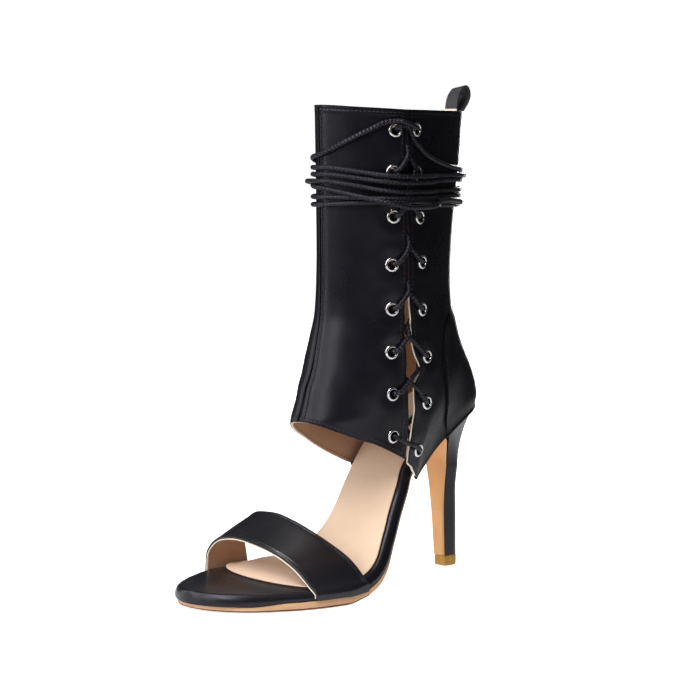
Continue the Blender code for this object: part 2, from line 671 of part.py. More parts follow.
bar = []
for back in (False, True):
    place, normal, _ = eyelet_place(0, back)
    edge = surface(3.0 if back else 0.0, EYELETS[0, ::2].mean())
    half = [place + normal * EYELET_LIFT, (place + edge) / 2 + normal * (EYELET_LIFT - 0.2),
            edge + normal * LACE_CLEAR]
    bar += half[::-1] if back else half
tube("lace_bar", bar, LACE / 2)


def eased(value, low, high):
    """Smooth step from 0 at low to 1 at high."""
    t = min(max((value - low) / (high - low), 0.0), 1.0)
    return t * t * (3 - 2 * t)


def rear_arm(u):
    """Height of the rear lace where it comes down to the turns, inside everything else."""
    return float(pchip(REAR_LACE[8:3:-1, 0] + 3.0, REAR_LACE[8:3:-1, 1], u))


def wound_point(s, z, forward):
    """Middle of a wound lace at column s and height z, lifted over what lies under it."""
    u = s % 3.0
    from_slit = u * FRONT_ARC if u < 1.5 else (3.0 - u) * REAR_ARC
    lift = REST_LIFT
    if z < 230.0:
        lift += SLIT_LIFT * (1 - eased(from_slit, 13.0, 26.0))
    if forward and s < 0.45:
        lift += 3.2 * (1 - eased(abs(s), 0.05, 0.28)) + 1.0 * (1 - eased(abs(s), 0.2, 0.4))
    if forward and 1.0 <= u < 2.9:
        lift += (LACE + 0.5) * (1 - eased(abs(z - rear_arm(u)), 1.8, 4.4)) * eased(u, 1.0, 1.05)
    if not forward and s > 0.0:
        lift += 1.1 * eased(s, 0.02, 0.07)
    if not forward and -3.8 < s < -2.3:
        lift += (LACE + 0.4) * eased(s, -3.8, -3.6) * (1 - eased(s, -2.5, -2.3))
    return surface(u, z) + surface_normal(u, z) * lift


def wound(table, forward):
    """Route of a lace from its top eyelet, round the shaft and down to the knot."""
    place, normal, _ = eyelet_place(7, forward)
    sign = 1 if forward else -1
    start, end = table[0, 0] * sign, table[-1, 0] * sign
    marks = [start, start + 0.025, start + 0.045, start + 0.1, start + 0.15, start + 0.25]
    for leg in range(math.ceil(end)):
        column = leg % 3 if forward else 2 - leg % 3
        count = LEG_POINTS[column]
        for k in range(count):
            t = k / count
            marks.append(leg + 0.55 * t + 0.45 * (1 - math.cos(math.pi * t)) / 2)
    marks = [m for m in sorted(marks) if m < end - 0.02 and (m <= start + 0.25 or m > start + 0.27)]
    marks.append(end)
    heights = pchip(table[::sign, 0], table[::sign, 1], np.array(marks) * sign)
    return np.array([place + normal * EYELET_LIFT]
                    + [wound_point(m * sign, z, forward) for m, z in zip(marks, heights)])


tube("lace_wound_front", wound(FRONT_LACE, True), LACE / 2, 5)
tube("lace_wound_rear", wound(REAR_LACE, False), LACE / 2, 5)
knot_normal = surface_normal(KNOT_U, KNOT_Z)
turned("lace_knot", surface(KNOT_U, KNOT_Z), knot_normal,
       [(0.6, 0.6), (2.6, 0.9), (3.1, 2.2), (2.6, 3.6), (0.6, 4.2)], 8, CORD)


# pull loop

def loop_rings():
    """Band folded over the back rim: up from the lining, round and down the outside."""
    z_rim = top(2.0)
    back = surface(2.0, z_rim - 2.0)
    inside = back[1] + WALL + GAP + LOOP_BAND / 2 + 1.9
    outside = back[1] - GAP - LOOP_BAND / 2 - 0.1
    route = [(inside + 1.4, z_rim - 9.0), (inside, z_rim), (inside - 0.4, z_rim + 5.0),
             (inside - 2.4, z_rim + 10.5), (inside - 5.4, z_rim + 14.4),
             (inside - 8.6, z_rim + 14.6), (inside - 10.2, z_rim + 11.0),
             (inside - 9.4, z_rim + 6.5), (outside - 2.0, z_rim + 2.5),
             (outside, z_rim - 0.5), (outside, z_rim - 4.0)]
    route = np.array(route)
    tangent = np.gradient(route, axis=0)
    tangent /= np.linalg.norm(tangent, axis=1)[:, None]
    side = np.stack([-tangent[:, 1], tangent[:, 0]], 1) * LOOP_BAND / 2
    rings = []
    for (d, z), (sd, sz) in zip(route, side):
        half = LOOP_WIDTH / 2
        rings.append(np.array([(-half, d - sd, z - sz), (half, d - sd, z - sz),
                               (half, d + sd, z + sz), (-half, d + sd, z + sz)]))
    return rings


loft("pull_loop", loop_rings(), LEATHER)
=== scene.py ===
"""Heeled open-toe boot, left foot: looks of the lace-up shaft, toe strap, footbed and stiletto heel.

Shoe coordinates are millimetres: x to the outer (lateral) side, d forward from the middle of
the heel tip, z up.  world() turns them into metres of the row frame.
"""
import math

import bmesh
import bpy
import numpy as np
from mathutils import Matrix, Vector

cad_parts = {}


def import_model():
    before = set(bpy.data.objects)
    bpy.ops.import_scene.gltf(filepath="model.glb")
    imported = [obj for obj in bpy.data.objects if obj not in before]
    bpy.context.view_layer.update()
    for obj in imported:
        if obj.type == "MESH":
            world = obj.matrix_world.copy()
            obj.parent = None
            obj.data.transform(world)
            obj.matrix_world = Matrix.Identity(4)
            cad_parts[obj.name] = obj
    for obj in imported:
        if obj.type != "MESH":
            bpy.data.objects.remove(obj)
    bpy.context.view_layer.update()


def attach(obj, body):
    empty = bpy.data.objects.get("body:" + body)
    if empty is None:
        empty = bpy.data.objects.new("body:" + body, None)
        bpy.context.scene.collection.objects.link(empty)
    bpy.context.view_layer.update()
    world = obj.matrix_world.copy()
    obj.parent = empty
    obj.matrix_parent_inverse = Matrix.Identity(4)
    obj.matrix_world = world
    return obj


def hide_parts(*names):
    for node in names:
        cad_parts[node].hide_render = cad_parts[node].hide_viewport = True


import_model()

MM = 0.001

# sizes of the boot, in millimetres
BALL_D = 130.0
HEEL_END_D = -9.8
TOE_END_D = 185.6
SEAT_ROUND = 23.0
TOE_ROUND = 60.0
GAP = 0.3
OUTSOLE = 2.6
FOOTBED = 6.0
TOP = OUTSOLE + GAP + FOOTBED
INSOCK = 1.2
INSOCK_END_D = 147.6
INSOCK_ROUND = 20.0
WALL = 1.6
STRAP_WALL = 1.8
TIP_HEIGHT = 6.0
SEAT_CORNER_D = 20.6
SEAT_HOLLOW = 9.0
BREAST_SKIN = 1.2
LOOP_WIDTH = 9.2
LOOP_BAND = 1.3
EYELET_FLANGE = 3.95
EYELET_BORE = 2.3
EYELET_BARREL = 2.75
EYELET_DEPTH = 4.4

# shaft: step between its levels, where its foot leaves the sole (d, and shares of the rear
# flap and of the inside), height over which the foot runs into the sections above
LEVEL_STEP = 0.5
CORNER_D = 53.0
LATERAL_SHARE = 0.845
MEDIAL_SHARE = 0.60
BLEND = 42.0

# x and d shares of a step halfway between forwards and sideways
DIAGONAL = 0.707

# laces: thickness, rise from a row to its crossing, depth of the hidden runs, height of the
# free turns over the leather and over the crossings, length of the flaps round the shaft,
# column and height of the knot
LACE = 2.7
CROSS_RISE = 10.5
LACE_UNDER = 3.8
REST_LIFT = 1.6
SLIT_LIFT = 3.9
FRONT_ARC = 50.0
REAR_ARC = 92.0
KNOT_U = 1.5
KNOT_Z = 216.5

# stitch rows: distance from the edge
RIM_STITCH = 2.2
SLIT_STITCH = 2.4
FOOT_STITCH = 1.9
SEAM_STITCH = 1.75
STRAP_STITCH = 1.5
COUNTER_STITCH = 2.0
LOOP_STITCH = 1.6

# sole stations: d, underside height, half width, centre line
SOLE = np.array([
    (-14.0, 95.3, 22.0, 0.0), (-4.0, 92.8, 22.0, 0.0), (8.0, 88.6, 22.0, 0.0),
    (20.0, 82.0, 22.3, 0.0), (32.0, 74.3, 22.2, 0.0), (42.0, 66.2, 21.9, 0.8),
    (50.0, 58.6, 21.4, 1.8), (58.0, 49.2, 22.7, 4.5), (66.0, 38.2, 23.6, 6.4),
    (74.0, 27.2, 25.6, 7.9), (84.0, 15.8, 29.7, 8.3), (96.0, 7.0, 35.3, 5.7),
    (108.0, 2.4, 39.2, 2.0), (120.0, 0.0, 41.0, -1.0), (132.0, 0.0, 41.4, -3.2),
    (146.0, 0.0, 40.8, -5.2), (160.0, 0.3, 40.0, -6.6), (190.0, 1.5, 40.5, -7.5)])

# how far the inner side of the footbed's top is cupped up: d, height
CUPPING = np.array([
    (90.0, 0.0), (98.0, 0.8), (104.0, 2.0), (112.0, 2.9), (120.0, 3.0), (132.0, 2.7),
    (146.0, 2.5), (160.0, 1.6), (172.0, 0.9), (190.0, 0.5)])

# shaft sections: z, back, slit, front, lateral, medial, medial_d, rear_p, front_p, medial_p
SHAFT = np.array([
    (50.0, -4.0, 63.0, 104.0, 28.0, 28.0, 52.0, 2.5, 2.2, 2.3),
    (72.0, -6.5, 62.9, 108.5, 30.6, 29.5, 53.0, 2.5, 2.2, 2.3),
    (93.0, -8.6, 61.9, 112.9, 32.4, 30.5, 54.0, 2.5, 2.2, 2.25),
    (99.0, -10.1, 62.3, 111.6, 32.8, 30.8, 54.0, 2.4, 2.15, 2.2),
    (106.0, -9.7, 63.0, 109.9, 33.0, 31.0, 53.5, 2.3, 2.1, 2.1),
    (115.0, -7.5, 63.7, 107.7, 33.3, 31.0, 53.0, 2.2, 2.0, 2.0),
    (125.0, -3.0, 64.6, 104.8, 33.5, 31.0, 52.0, 2.1, 1.9, 1.9),
    (136.0, 1.4, 65.6, 102.3, 33.8, 30.8, 51.0, 2.0, 1.8, 1.75),
    (150.0, 3.7, 66.6, 99.9, 34.0, 30.5, 50.5, 1.85, 1.7, 1.6),
    (166.0, 4.2, 67.4, 99.4, 34.2, 30.5, 50.0, 1.8, 1.65, 1.55),
    (186.0, 3.4, 68.0, 99.5, 34.6, 30.6, 50.0, 1.8, 1.6, 1.5),
    (204.0, 1.2, 68.8, 99.7, 35.0, 30.8, 50.0, 1.8, 1.6, 1.5),
    (230.0, -2.6, 69.8, 99.9, 35.5, 31.0, 50.0, 1.8, 1.6, 1.5),
    (264.0, -6.8, 70.9, 100.9, 36.0, 31.0, 50.0, 1.8, 1.6, 1.5)])

# half opening of the slit by height: z, front flap, back flap
SLIT = np.array([
    (58.0, 0.4, 0.4), (70.0, 0.7, 0.4), (81.0, 1.3, 0.6), (87.0, 2.2, 0.9), (92.0, 2.2, 1.6),
    (97.0, 3.0, 2.2), (103.0, 3.2, 1.8), (110.0, 3.2, 1.7), (115.0, 3.3, 4.0), (119.0, 3.5, 7.2),
    (123.0, 3.5, 5.9), (127.0, 3.5, 3.7), (133.0, 3.6, 1.8), (143.0, 3.2, 0.7), (147.0, 3.3, 1.4),
    (152.0, 3.4, 0.9), (158.0, 2.2, 0.5), (166.0, 0.5, 0.5), (264.0, 0.5, 0.5)])

# free lower edge of the shaft: d, lateral height, medial height
CUFF = np.array([
    (50.0, 58.0, 59.0), (54.0, 60.2, 61.0), (58.5, 64.6, 63.8), (63.0, 69.0, 66.0),
    (70.0, 72.6, 69.6), (83.0, 79.2, 76.6), (94.0, 84.6, 82.4), (103.0, 88.6, 87.0),
    (113.0, 92.6, 92.4)])

# how far the free edge is cut below (-) or above (+) that line, by column
EDGE_TRIM = np.array([
    (0.0, 1.1), (0.1, 0.9), (0.2, 0.5), (0.35, -0.2), (0.5, -1.8), (0.6, -2.0), (0.72, -1.6),
    (0.85, -0.6), (1.0, 0.0), (1.06, -0.5), (1.12, -2.4), (1.18, -3.4), (1.24, -5.3),
    (1.30, -6.0), (1.36, -5.9), (1.39, -5.2), (1.42, 0.0), (2.85, 0.0), (2.885, 2.2),
    (2.93, 2.2), (2.985, 0.2), (3.0, 0.0)])

# how far the cuff stands out over the instep and the inside, by column and by height
FLARE_U = np.array([(0.8, 0.0), (0.9, 0.9), (1.0, 2.7), (1.06, 3.7), (1.1, 3.9), (1.18, 3.7),
                    (1.24, 3.0), (1.30, 2.2), (1.36, 1.2), (1.42, 0.0)])
FLARE_Z = np.array([(91.0, 1.0), (95.0, 0.86), (102.5, 0.61), (110.0, 0.46), (116.0, 0.12),
                    (121.0, 0.0)])

# rim height by column
RIM = np.array([(0.0, 258.7), (0.5, 260.0), (1.0, 261.2), (1.5, 259.8), (2.0, 257.8), (3.0, 258.7)])

# eyelets: front height, distance from the middle of the slit, back height, distance
EYELETS = np.array([
    (84.0, 11.9, 74.3, 10.6), (107.1, 13.5, 100.4, 11.8), (129.6, 12.5, 125.7, 13.7),
    (152.7, 10.4, 151.6, 11.6), (176.4, 9.9, 177.1, 12.2), (202.2, 8.6, 201.3, 10.2),
    (225.8, 8.5, 225.0, 8.4), (247.8, 7.0, 248.0, 8.0)])
TOP_ROW = len(EYELETS) - 1

# heel below the seat: z, back, breast, back half width, breast half width
HEEL = np.array([
    (6.3, -6.3, 4.8, 4.7, 3.9), (18.0, -6.2, 5.5, 4.9, 4.2), (33.0, -6.0, 6.5, 5.2, 4.8),
    (47.0, -4.9, 7.2, 6.4, 6.2), (58.0, -4.8, 7.8, 8.4, 8.0)])

# toe strap arch: rear edge d, x, z, front edge d, x, z
STRAP = np.array([
    (106.6, 0.0, 0.0, 139.8, 0.0, 0.0), (106.9, 0.0, 0.0, 139.9, 0.0, 0.0),
    (107.1, 39.9, 13.6, 140.0, 33.6, 11.6), (107.4, 35.4, 17.9, 140.2, 29.4, 15.0),
    (107.7, 29.2, 22.3, 140.5, 22.6, 19.8), (108.8, 14.8, 29.0, 140.8, 8.0, 26.0),
    (110.8, -6.6, 37.1, 141.0, -10.5, 29.6), (113.0, -22.5, 40.9, 141.0, -22.8, 30.6),
    (114.6, -33.6, 40.5, 141.0, -35.6, 28.9), (115.9, -40.4, 35.9, 141.0, -43.6, 24.0),
    (116.6, -44.4, 29.0, 141.0, -47.2, 18.0), (114.6, 0.0, 0.0, 141.0, 0.0, 0.0),
    (114.2, 0.0, 0.0, 141.0, 0.0, 0.0)])

# counter outline: height, length of leather from the back seam to its edge
COUNTER_EDGE = np.array([
    (66.0, 40.2), (78.5, 45.9), (88.8, 52.1), (100.5, 57.2), (111.5, 58.4), (122.5, 54.9),
    (133.2, 48.2), (141.5, 41.3), (144.6, 37.4), (146.6, 32.8), (148.2, 26.5), (149.3, 19.5),
    (150.0, 12.5), (150.4, 6.5), (150.6, 2.5)])

# wound laces, from the top eyelets to the knot: column counted on past the slit, height
FRONT_LACE = np.array([
    (-0.03, 249.2), (0.0, 250.6), (0.1, 252.6), (0.2, 252.4), (0.45, 247.2), (1.0, 234.5),
    (2.0, 222.8), (2.6, 223.4), (3.0, 223.2), (4.0, 228.0), (5.0, 220.2), (5.5, 220.7),
    (6.0, 219.9), (7.0, 224.4), (8.0, 215.3), (9.0, 215.0), (10.0, 220.8), (10.45, 216.8)])
REAR_LACE = np.array([
    (0.08, 250.2), (0.0, 250.4), (-0.012, 248.0), (-0.03, 243.2), (-0.08, 238.6), (-0.2, 233.0),
    (-0.5, 227.6), (-1.0, 225.0), (-2.0, 217.4), (-2.7, 210.6), (-2.97, 207.2), (-3.1, 207.2),
    (-3.35, 210.2), (-3.7, 208.2), (-4.0, 205.6), (-5.0, 208.2), (-5.75, 210.0), (-6.0, 210.3),
    (-6.15, 209.4), (-6.35, 207.4), (-6.7, 206.9), (-7.0, 208.9), (-8.0, 212.2), (-9.0, 211.9),
    (-10.0, 212.0), (-10.45, 216.2)])


def world(points):
    """Shoe coordinates as metres of the row frame."""
    points = np.asarray(points, float)
    return np.stack([points[..., 0], BALL_D - points[..., 1], points[..., 2]], -1) * MM


def pchip(xs, ys, at):
    """Monotone cubic interpolation of a table, held flat beyond its ends."""
    xs = np.asarray(xs, float)
    ys = np.asarray(ys, float)
    at = np.clip(np.asarray(at, float), xs[0], xs[-1])
    h = np.diff(xs)
    delta = np.diff(ys) / h
    slope = np.zeros_like(ys)
    left, right = delta[:-1], delta[1:]
    same = left * right > 0
    w1 = 2 * h[1:] + h[:-1]
    w2 = h[1:] + 2 * h[:-1]
    slope[1:-1][same] = ((w1 + w2)[same]
                         / (w1[same] / left[same] + w2[same] / right[same]))
    slope[0], slope[-1] = delta[0], delta[-1]
    i = np.clip(np.searchsorted(xs, at, side="right") - 1, 0, len(h) - 1)
    t = (at - xs[i]) / h[i]
    return (ys[i] * (1 + 2 * t) * (1 - t) ** 2 + slope[i] * h[i] * t * (1 - t) ** 2
            + ys[i + 1] * t * t * (3 - 2 * t) + slope[i + 1] * h[i] * t * t * (t - 1))


def read(table, column, at):
    """A column of a table, at values of its first column."""
    return pchip(table[:, 0], table[:, column], at)


def eased(value, low, high):
    """Smooth step from 0 at low to 1 at high."""
    t = np.clip((np.asarray(value, float) - low) / (high - low), 0.0, 1.0)
    return t * t * (3 - 2 * t)


def unit(vectors):
    """Vectors scaled to length 1."""
    return vectors / np.linalg.norm(vectors, axis=-1, keepdims=True)


def run_of(line):
    """Length from the start of a polyline to each of its points."""
    step = np.linalg.norm(np.diff(line, axis=0), axis=1)
    return np.concatenate([[0.0], np.cumsum(step)])


def picked(points, run, at):
    """Points of a polyline where its running value, such as its length, is at."""
    return np.stack([np.interp(at, run, column) for column in points.T], -1)


# camera: place in metres, degrees it looks down and is turned, focal length

CAMERA_PLACE = (0.881215, -0.828677, 0.252)
CAMERA_DOWN = 5.653
CAMERA_TURN = 45.0
CAMERA_LENS = 118.44

camera_data = bpy.data.cameras.new("camera")
camera_data.sensor_width = 36.0
camera_data.lens = CAMERA_LENS
camera_data.clip_end = 50.0
camera = bpy.data.objects.new("camera", camera_data)
bpy.context.scene.collection.objects.link(camera)
camera.location = CAMERA_PLACE
camera.rotation_euler = (math.radians(90 - CAMERA_DOWN), 0.0, math.radians(CAMERA_TURN))
bpy.context.scene.camera = camera
bpy.context.scene.view_settings.view_transform = "Standard"


# shaft surface

LEVELS = np.arange(44.0, 268.01, LEVEL_STEP)
SHARES = np.linspace(0.0, 1.0, 241)


def quarter(width, depth, roundness):
    """Superellipse quarter from its widest point to its end."""
    a = np.linspace(0.0, math.pi / 2, 200)
    power = 2.0 / roundness
    return np.stack([width * np.cos(a) ** power, depth * np.sin(a) ** power], 1)


def section(z):
    """Three arcs at height z: slit to front, front to back round the inside, back to slit."""
    back, slit, front, lat, med, med_d, rear_p, front_p, med_p = (
        read(SHAFT, c, z) for c in range(1, 10))
    fore = quarter(lat, front - slit, front_p) + (0.0, slit)
    rear = quarter(lat, back - slit, rear_p) + (0.0, slit)
    inner_fore = quarter(-med, front - med_d, med_p) + (0.0, med_d)
    inner_rear = quarter(-med, back - med_d, max(rear_p, 1.8)) + (0.0, med_d)
    inside = np.concatenate([inner_fore[::-1], inner_rear[1:]])
    return fore, inside, rear[::-1]


def along(line, start, stop, share):
    """Points of a polyline at shares of the length left between start and stop."""
    run = run_of(line)
    at = start + (run[-1] - start - stop) * share
    return picked(line, run, at)


def slit_gap(z, column):
    """Half opening of the slit, a little wider where the laces pass through it."""
    gap = read(SLIT, column, z)
    for row in range(1, TOP_ROW):
        cross = EYELETS[row, ::2].mean() + CROSS_RISE + 2.0
        gap = gap + 0.8 * np.exp(-((z - cross) / 4.0) ** 2)
    return gap


def level(z):
    """All columns of the shaft's section at one height."""
    fore, inside, rear = section(z)
    return np.concatenate([along(fore, slit_gap(z, 1), 0.0, SHARES),
                           along(inside, 0.0, 0.0, SHARES)[1:],
                           along(rear, 0.0, slit_gap(z, 2), SHARES)[1:]])


TABLE = np.array([level(z) for z in LEVELS])
TABLE_RUN = np.concatenate([np.zeros((len(LEVELS), 1)), np.cumsum(
    np.linalg.norm(np.diff(TABLE, axis=1), axis=2), axis=1)], axis=1)


def leather_length(z):
    """Lengths of the inside and of the rear flap at height z."""
    count = len(SHARES) - 1
    return (np.interp(z, LEVELS, TABLE_RUN[:, 2 * count] - TABLE_RUN[:, count]),
            np.interp(z, LEVELS, TABLE_RUN[:, -1] - TABLE_RUN[:, 2 * count]))


def ring_point(u, z):
    """Point of the bare section, interpolated in the table of levels and columns."""
    u, z = np.broadcast_arrays(np.asarray(u, float), np.asarray(z, float))
    c = np.clip(u * (len(SHARES) - 1), 0, TABLE.shape[1] - 1.000001)
    r = np.clip((z - LEVELS[0]) / LEVEL_STEP, 0, len(LEVELS) - 1.000001)
    i, j = r.astype(int), c.astype(int)
    a, b = (r - i)[..., None], (c - j)[..., None]
    return ((TABLE[i, j] * (1 - b) + TABLE[i, j + 1] * b) * (1 - a)
            + (TABLE[i + 1, j] * (1 - b) + TABLE[i + 1, j + 1] * b) * a)


def sole_z(d):
    """Height of the underside's middle line."""
    return read(SOLE, 1, d)


def sole_frame(d):
    """Height of the underside's middle line and the upward normal in the d-z plane."""
    slope = (sole_z(d + 0.2) - sole_z(d - 0.2)) / 0.4
    length = np.sqrt(1 + slope * slope)
    return sole_z(d), -slope / length, 1 / length


def half_width(d, grow=0.0, end=TOE_END_D, rounding=TOE_ROUND):
    """Half width of the sole at d, with its ends and sides moved out by grow."""
    width = read(SOLE, 2, d) + grow
    rear = np.clip((HEEL_END_D + SEAT_ROUND - d) / (SEAT_ROUND + grow), 0.0, 1.0)
    fore = np.clip((d - end + rounding) / (rounding + grow), 0.0, 1.0)
    return width * np.sqrt(1 - rear ** 2) * np.sqrt(1 - fore ** 2)


def centre_x(d):
    """Sideways place of the sole's centre line."""
    return read(SOLE, 3, d)


def laid(height, d, x):
    """Real height of a sole layer: edge thicker at the ball, inner side cupped up."""
    over = np.clip((height - OUTSOLE) / (TOP - OUTSOLE), 0.0, 1.0)
    thick = 1.7 * eased(d, 104.0, 122.0) * (1 - eased(d, 150.0, 172.0))
    inner = np.clip(0.5 - x / (2 * read(SOLE, 2, d)), 0.0, 1.0)
    cupped = read(CUPPING, 1, d) * inner
    return height + thick * np.minimum(height / OUTSOLE, 1 - over) + cupped * over


def on_sole(ds, x, height):
    """Points beside the sole's centre line, at a nominal height over its underside."""
    z, nd, nz = sole_frame(ds)
    high = laid(height, ds, x)
    return np.stack([centre_x(ds) + x, ds + nd * high, z + nz * high], 1)


def outline(side):
    """Sole outline outside the leather, from the back to the shaft's corner, and its heights."""
    count = 160
    grow = GAP + WALL
    end = HEEL_END_D - grow
    run = SEAT_ROUND + grow
    ds = np.concatenate([end + run * (1 - np.cos(np.linspace(0, 1.5, count))),
                         np.linspace(end + run, CORNER_D, count)[1:]])
    ds = np.sort(ds)
    x = side * half_width(ds, grow)
    x = x + centre_x(ds) * np.clip((ds - 8.0) / 20.0, 0.0, 1.0)
    x[0] = 0.0
    return np.stack([x, ds], 1), sole_z(ds)


def free_edge(u):
    """Height of the free lower edge under columns u."""
    inner = (u > 1.0) & (u <= 2.0)
    z = np.full(u.shape, 80.0)
    for _ in range(12):
        d = ring_point(u, z)[:, 1]
        z = np.where(inner, read(CUFF, 2, d), read(CUFF, 1, d))
    return z


def lower_edge():
    """Lowest height and pull towards the sole's outline, for every knot column."""
    z = free_edge(KNOTS)
    pull = np.zeros((len(KNOTS), 2))
    for side, limit in ((1, LATERAL_SHARE), (-1, MEDIAL_SHARE)):
        share = side * (KNOTS - 2.0)
        line, heights = outline(side)
        run = run_of(line)
        on = (share >= 0) & (share <= limit) & ((KNOTS > 2.0) if side > 0 else (KNOTS > 1.0))
        at = run[-1] * share[on] / limit
        z[on] = np.interp(at, run, heights)
        pull[on] = picked(line, run, at) - ring_point(KNOTS[on], z[on])
        corner = line[-1] - ring_point(2.0 + side * limit, heights[-1])
        past = (share > limit) & ((KNOTS > 2.0) if side > 0 else (KNOTS > 1.0))
        if side > 0:
            fade = 1 - 0.65 * (share[past] - limit) / (1 - limit)
            pull[past] = corner * fade[:, None]
            first = KNOTS <= 1.0
            pull[first] = corner * 0.35 * (1 - eased(KNOTS[first], 0.0, 0.5))[:, None]
        else:
            fade = 1 - eased(share[past], limit, limit + 0.45)
            pull[past] = corner * fade[:, None]
    return z, pull


# columns at which the lower edge is worked out, with both corners among them
KNOTS = np.unique(np.concatenate([np.linspace(0, 3, 421), [2 + LATERAL_SHARE, 2 - MEDIAL_SHARE]]))
EDGE_Z, EDGE_PULL = lower_edge()
EDGE_Z += read(EDGE_TRIM, 1, KNOTS)
CORNER_RISE = 2.3
CORNER_RISE_WIDTH = 0.016
EDGE_Z += CORNER_RISE * np.exp(-((KNOTS - 2.0 - LATERAL_SHARE) / CORNER_RISE_WIDTH) ** 2)


def bottom(u):
    """Height of the shaft's lower edge at columns u."""
    return np.interp(u, KNOTS, EDGE_Z)


def top(u):
    """Height of the rim at columns u."""
    return read(RIM, 1, u)


def surface(u, z):
    """Outside of the shaft at columns u and heights z."""
    u, z = np.broadcast_arrays(np.asarray(u, float), np.asarray(z, float))
    pull = picked(EDGE_PULL, KNOTS, u)
    t = np.clip((z - bottom(u)) / BLEND, 0.0, 1.0)[..., None]
    flat = ring_point(u, z) + pull * (1 - t) ** 2 * (1 + 2 * t)
    flare = read(FLARE_U, 1, u) * read(FLARE_Z, 1, z)
    corner_out = (1 - eased(z, 80.0, 94.0)) * eased(u, 2.80, 2.99)
    flat = flat + np.stack([corner_out - DIAGONAL * flare, DIAGONAL * flare], -1)
    return np.concatenate([flat, z[..., None]], -1)


def surface_normal(u, z):
    """Outward normals of the shaft."""
    low, high = np.maximum(np.asarray(u) - 0.012, 0.0), np.minimum(np.asarray(u) + 0.012, 3.0)
    du = surface(high, z) - surface(low, z)
    dv = surface(u, np.asarray(z) + 1.0) - surface(u, np.asarray(z) - 1.0)
    return unit(np.cross(du, dv))


def offset(u, z, lift):
    """Points at a lift over the outside of the shaft."""
    return surface(u, z) + surface_normal(u, z) * np.asarray(lift, float)[..., None]


def eyelet_place(row, back):
    """Centre, normal and column of an eyelet on the outside of the leather."""
    z, inset = EYELETS[row, 2:] if back else EYELETS[row, :2]
    length = run_of(section(z)[2 if back else 0])[-1]
    gap = slit_gap(z, 2 if back else 1)
    share = (inset - gap) / (length - gap)
    u = 3.0 - share if back else share
    return surface(u, z), surface_normal(u, z), u


def axes_of(normal):
    """Two axes across a normal: sideways, and up the surface."""
    across = unit(np.cross((0.0, 0.0, 1.0), normal))
    return across, np.cross(normal, across)


FRONT_RUN, INSIDE_RUN, REAR_RUN = (run_of(arc)[-1] for arc in section(190.0))
PLACES = {(row, back): eyelet_place(row, back) for row in range(TOP_ROW + 1)
          for back in (False, True)}


# materials

class Look:
    """Nodes of a material or of the world, while they are put together."""

    def __init__(self, owner):
        owner.use_nodes = True
        self.owner = owner
        self.nodes = owner.node_tree.nodes
        self.links = owner.node_tree.links

    def feed(self, node, **values):
        """Inputs of a node by name, an underline for a space: sockets are linked, others set."""
        for key, value in values.items():
            socket = node.inputs[key.replace("_", " ")]
            if isinstance(value, bpy.types.NodeSocket):
                self.links.new(value, socket)
            else:
                socket.default_value = value

    def add(self, kind, *sources, **values):
        """New node whose first inputs come from sources, in their order."""
        node = self.nodes.new("ShaderNode" + kind)
        for source, socket in zip(sources, node.inputs):
            self.links.new(source, socket)
        self.feed(node, **values)
        return node

    def place(self, kind="Object"):
        """Where a point lies, in the piece's own space or on its map."""
        return self.add("TexCoord").outputs[kind]

    def noise(self, place, **values):
        """Cloudy pattern."""
        return self.add("TexNoise", place, **values).outputs["Fac"]

    def pores(self, place, **values):
        """Distance to the nearest of many scattered points."""
        return self.add("TexVoronoi", place, **values).outputs["Distance"]

    def ramp(self, source, *stops):
        """Colours blended over a value, each stop a position, red, green and blue."""
        node = self.add("ValToRGB", source)
        for element, (position, *colour) in zip(node.color_ramp.elements, stops):
            element.position = position
            element.color = (*colour, 1.0)
        return node.outputs["Color"]

    def spread(self, source, low, high, first=0.0, last=1.0):
        """A value spread from the range first to last onto the range low to high."""
        return self.add("MapRange", source, From_Min=first, From_Max=last, To_Min=low,
                        To_Max=high).outputs["Result"]

    def bump(self, height, depth, strength, under=None):
        """Bump of a depth in metres, laid over another one."""
        node = self.add("Bump", Distance=depth, Strength=strength, Height=height)
        if under is not None:
            self.feed(node, Normal=under)
        return node.outputs["Normal"]

    def finished(self, **values):
        """The material, its main shader set."""
        self.feed(self.nodes["Principled BSDF"], **values)
        return self.owner


def leather(name, dark, light, rough, gloss, grain=0.5, creases=0.3):
    """Finished calf leather: fine pebbled grain, faint creases and uneven polish."""
    look = Look(bpy.data.materials.new(name))
    place = look.place()
    cloud = look.noise(place, Scale=38.0, Detail=4.0, Roughness=0.6)
    pores = look.pores(place, Scale=1500.0, Randomness=1.0)
    fine = look.noise(place, Scale=2600.0, Detail=3.0)
    folds = look.noise(place, Scale=160.0, Detail=5.0, Roughness=0.7, Distortion=0.6)
    creased = look.bump(folds, 0.00012, creases)
    grained = look.bump(pores, 0.00005, grain, creased)
    return look.finished(
        Base_Color=look.ramp(cloud, (0.3, *dark), (0.72, *light)),
        Roughness=look.spread(cloud, rough - 0.04, rough + 0.05, 0.3, 0.7),
        Normal=look.bump(fine, 0.00002, grain, grained),
        Specular_IOR_Level=gloss, Specular_Tint=(0.93, 0.91, 1.0, 1.0))


def tanned(name, dark, light, rough, scale, depth):
    """Smooth veg-tanned or lining leather with a suede-like nap."""
    look = Look(bpy.data.materials.new(name))
    place = look.place()
    cloud = look.noise(place, Scale=scale, Detail=5.0, Roughness=0.6)
    nap = look.noise(place, Scale=2200.0, Detail=2.0)
    pitted = look.bump(look.pores(place, Scale=900.0), depth, 0.35)
    return look.finished(
        Base_Color=look.ramp(cloud, (0.32, *dark), (0.7, *light)),
        Roughness=look.spread(nap, rough - 0.06, rough + 0.08),
        Normal=look.bump(nap, depth * 0.5, 0.4, pitted), Specular_IOR_Level=0.35)


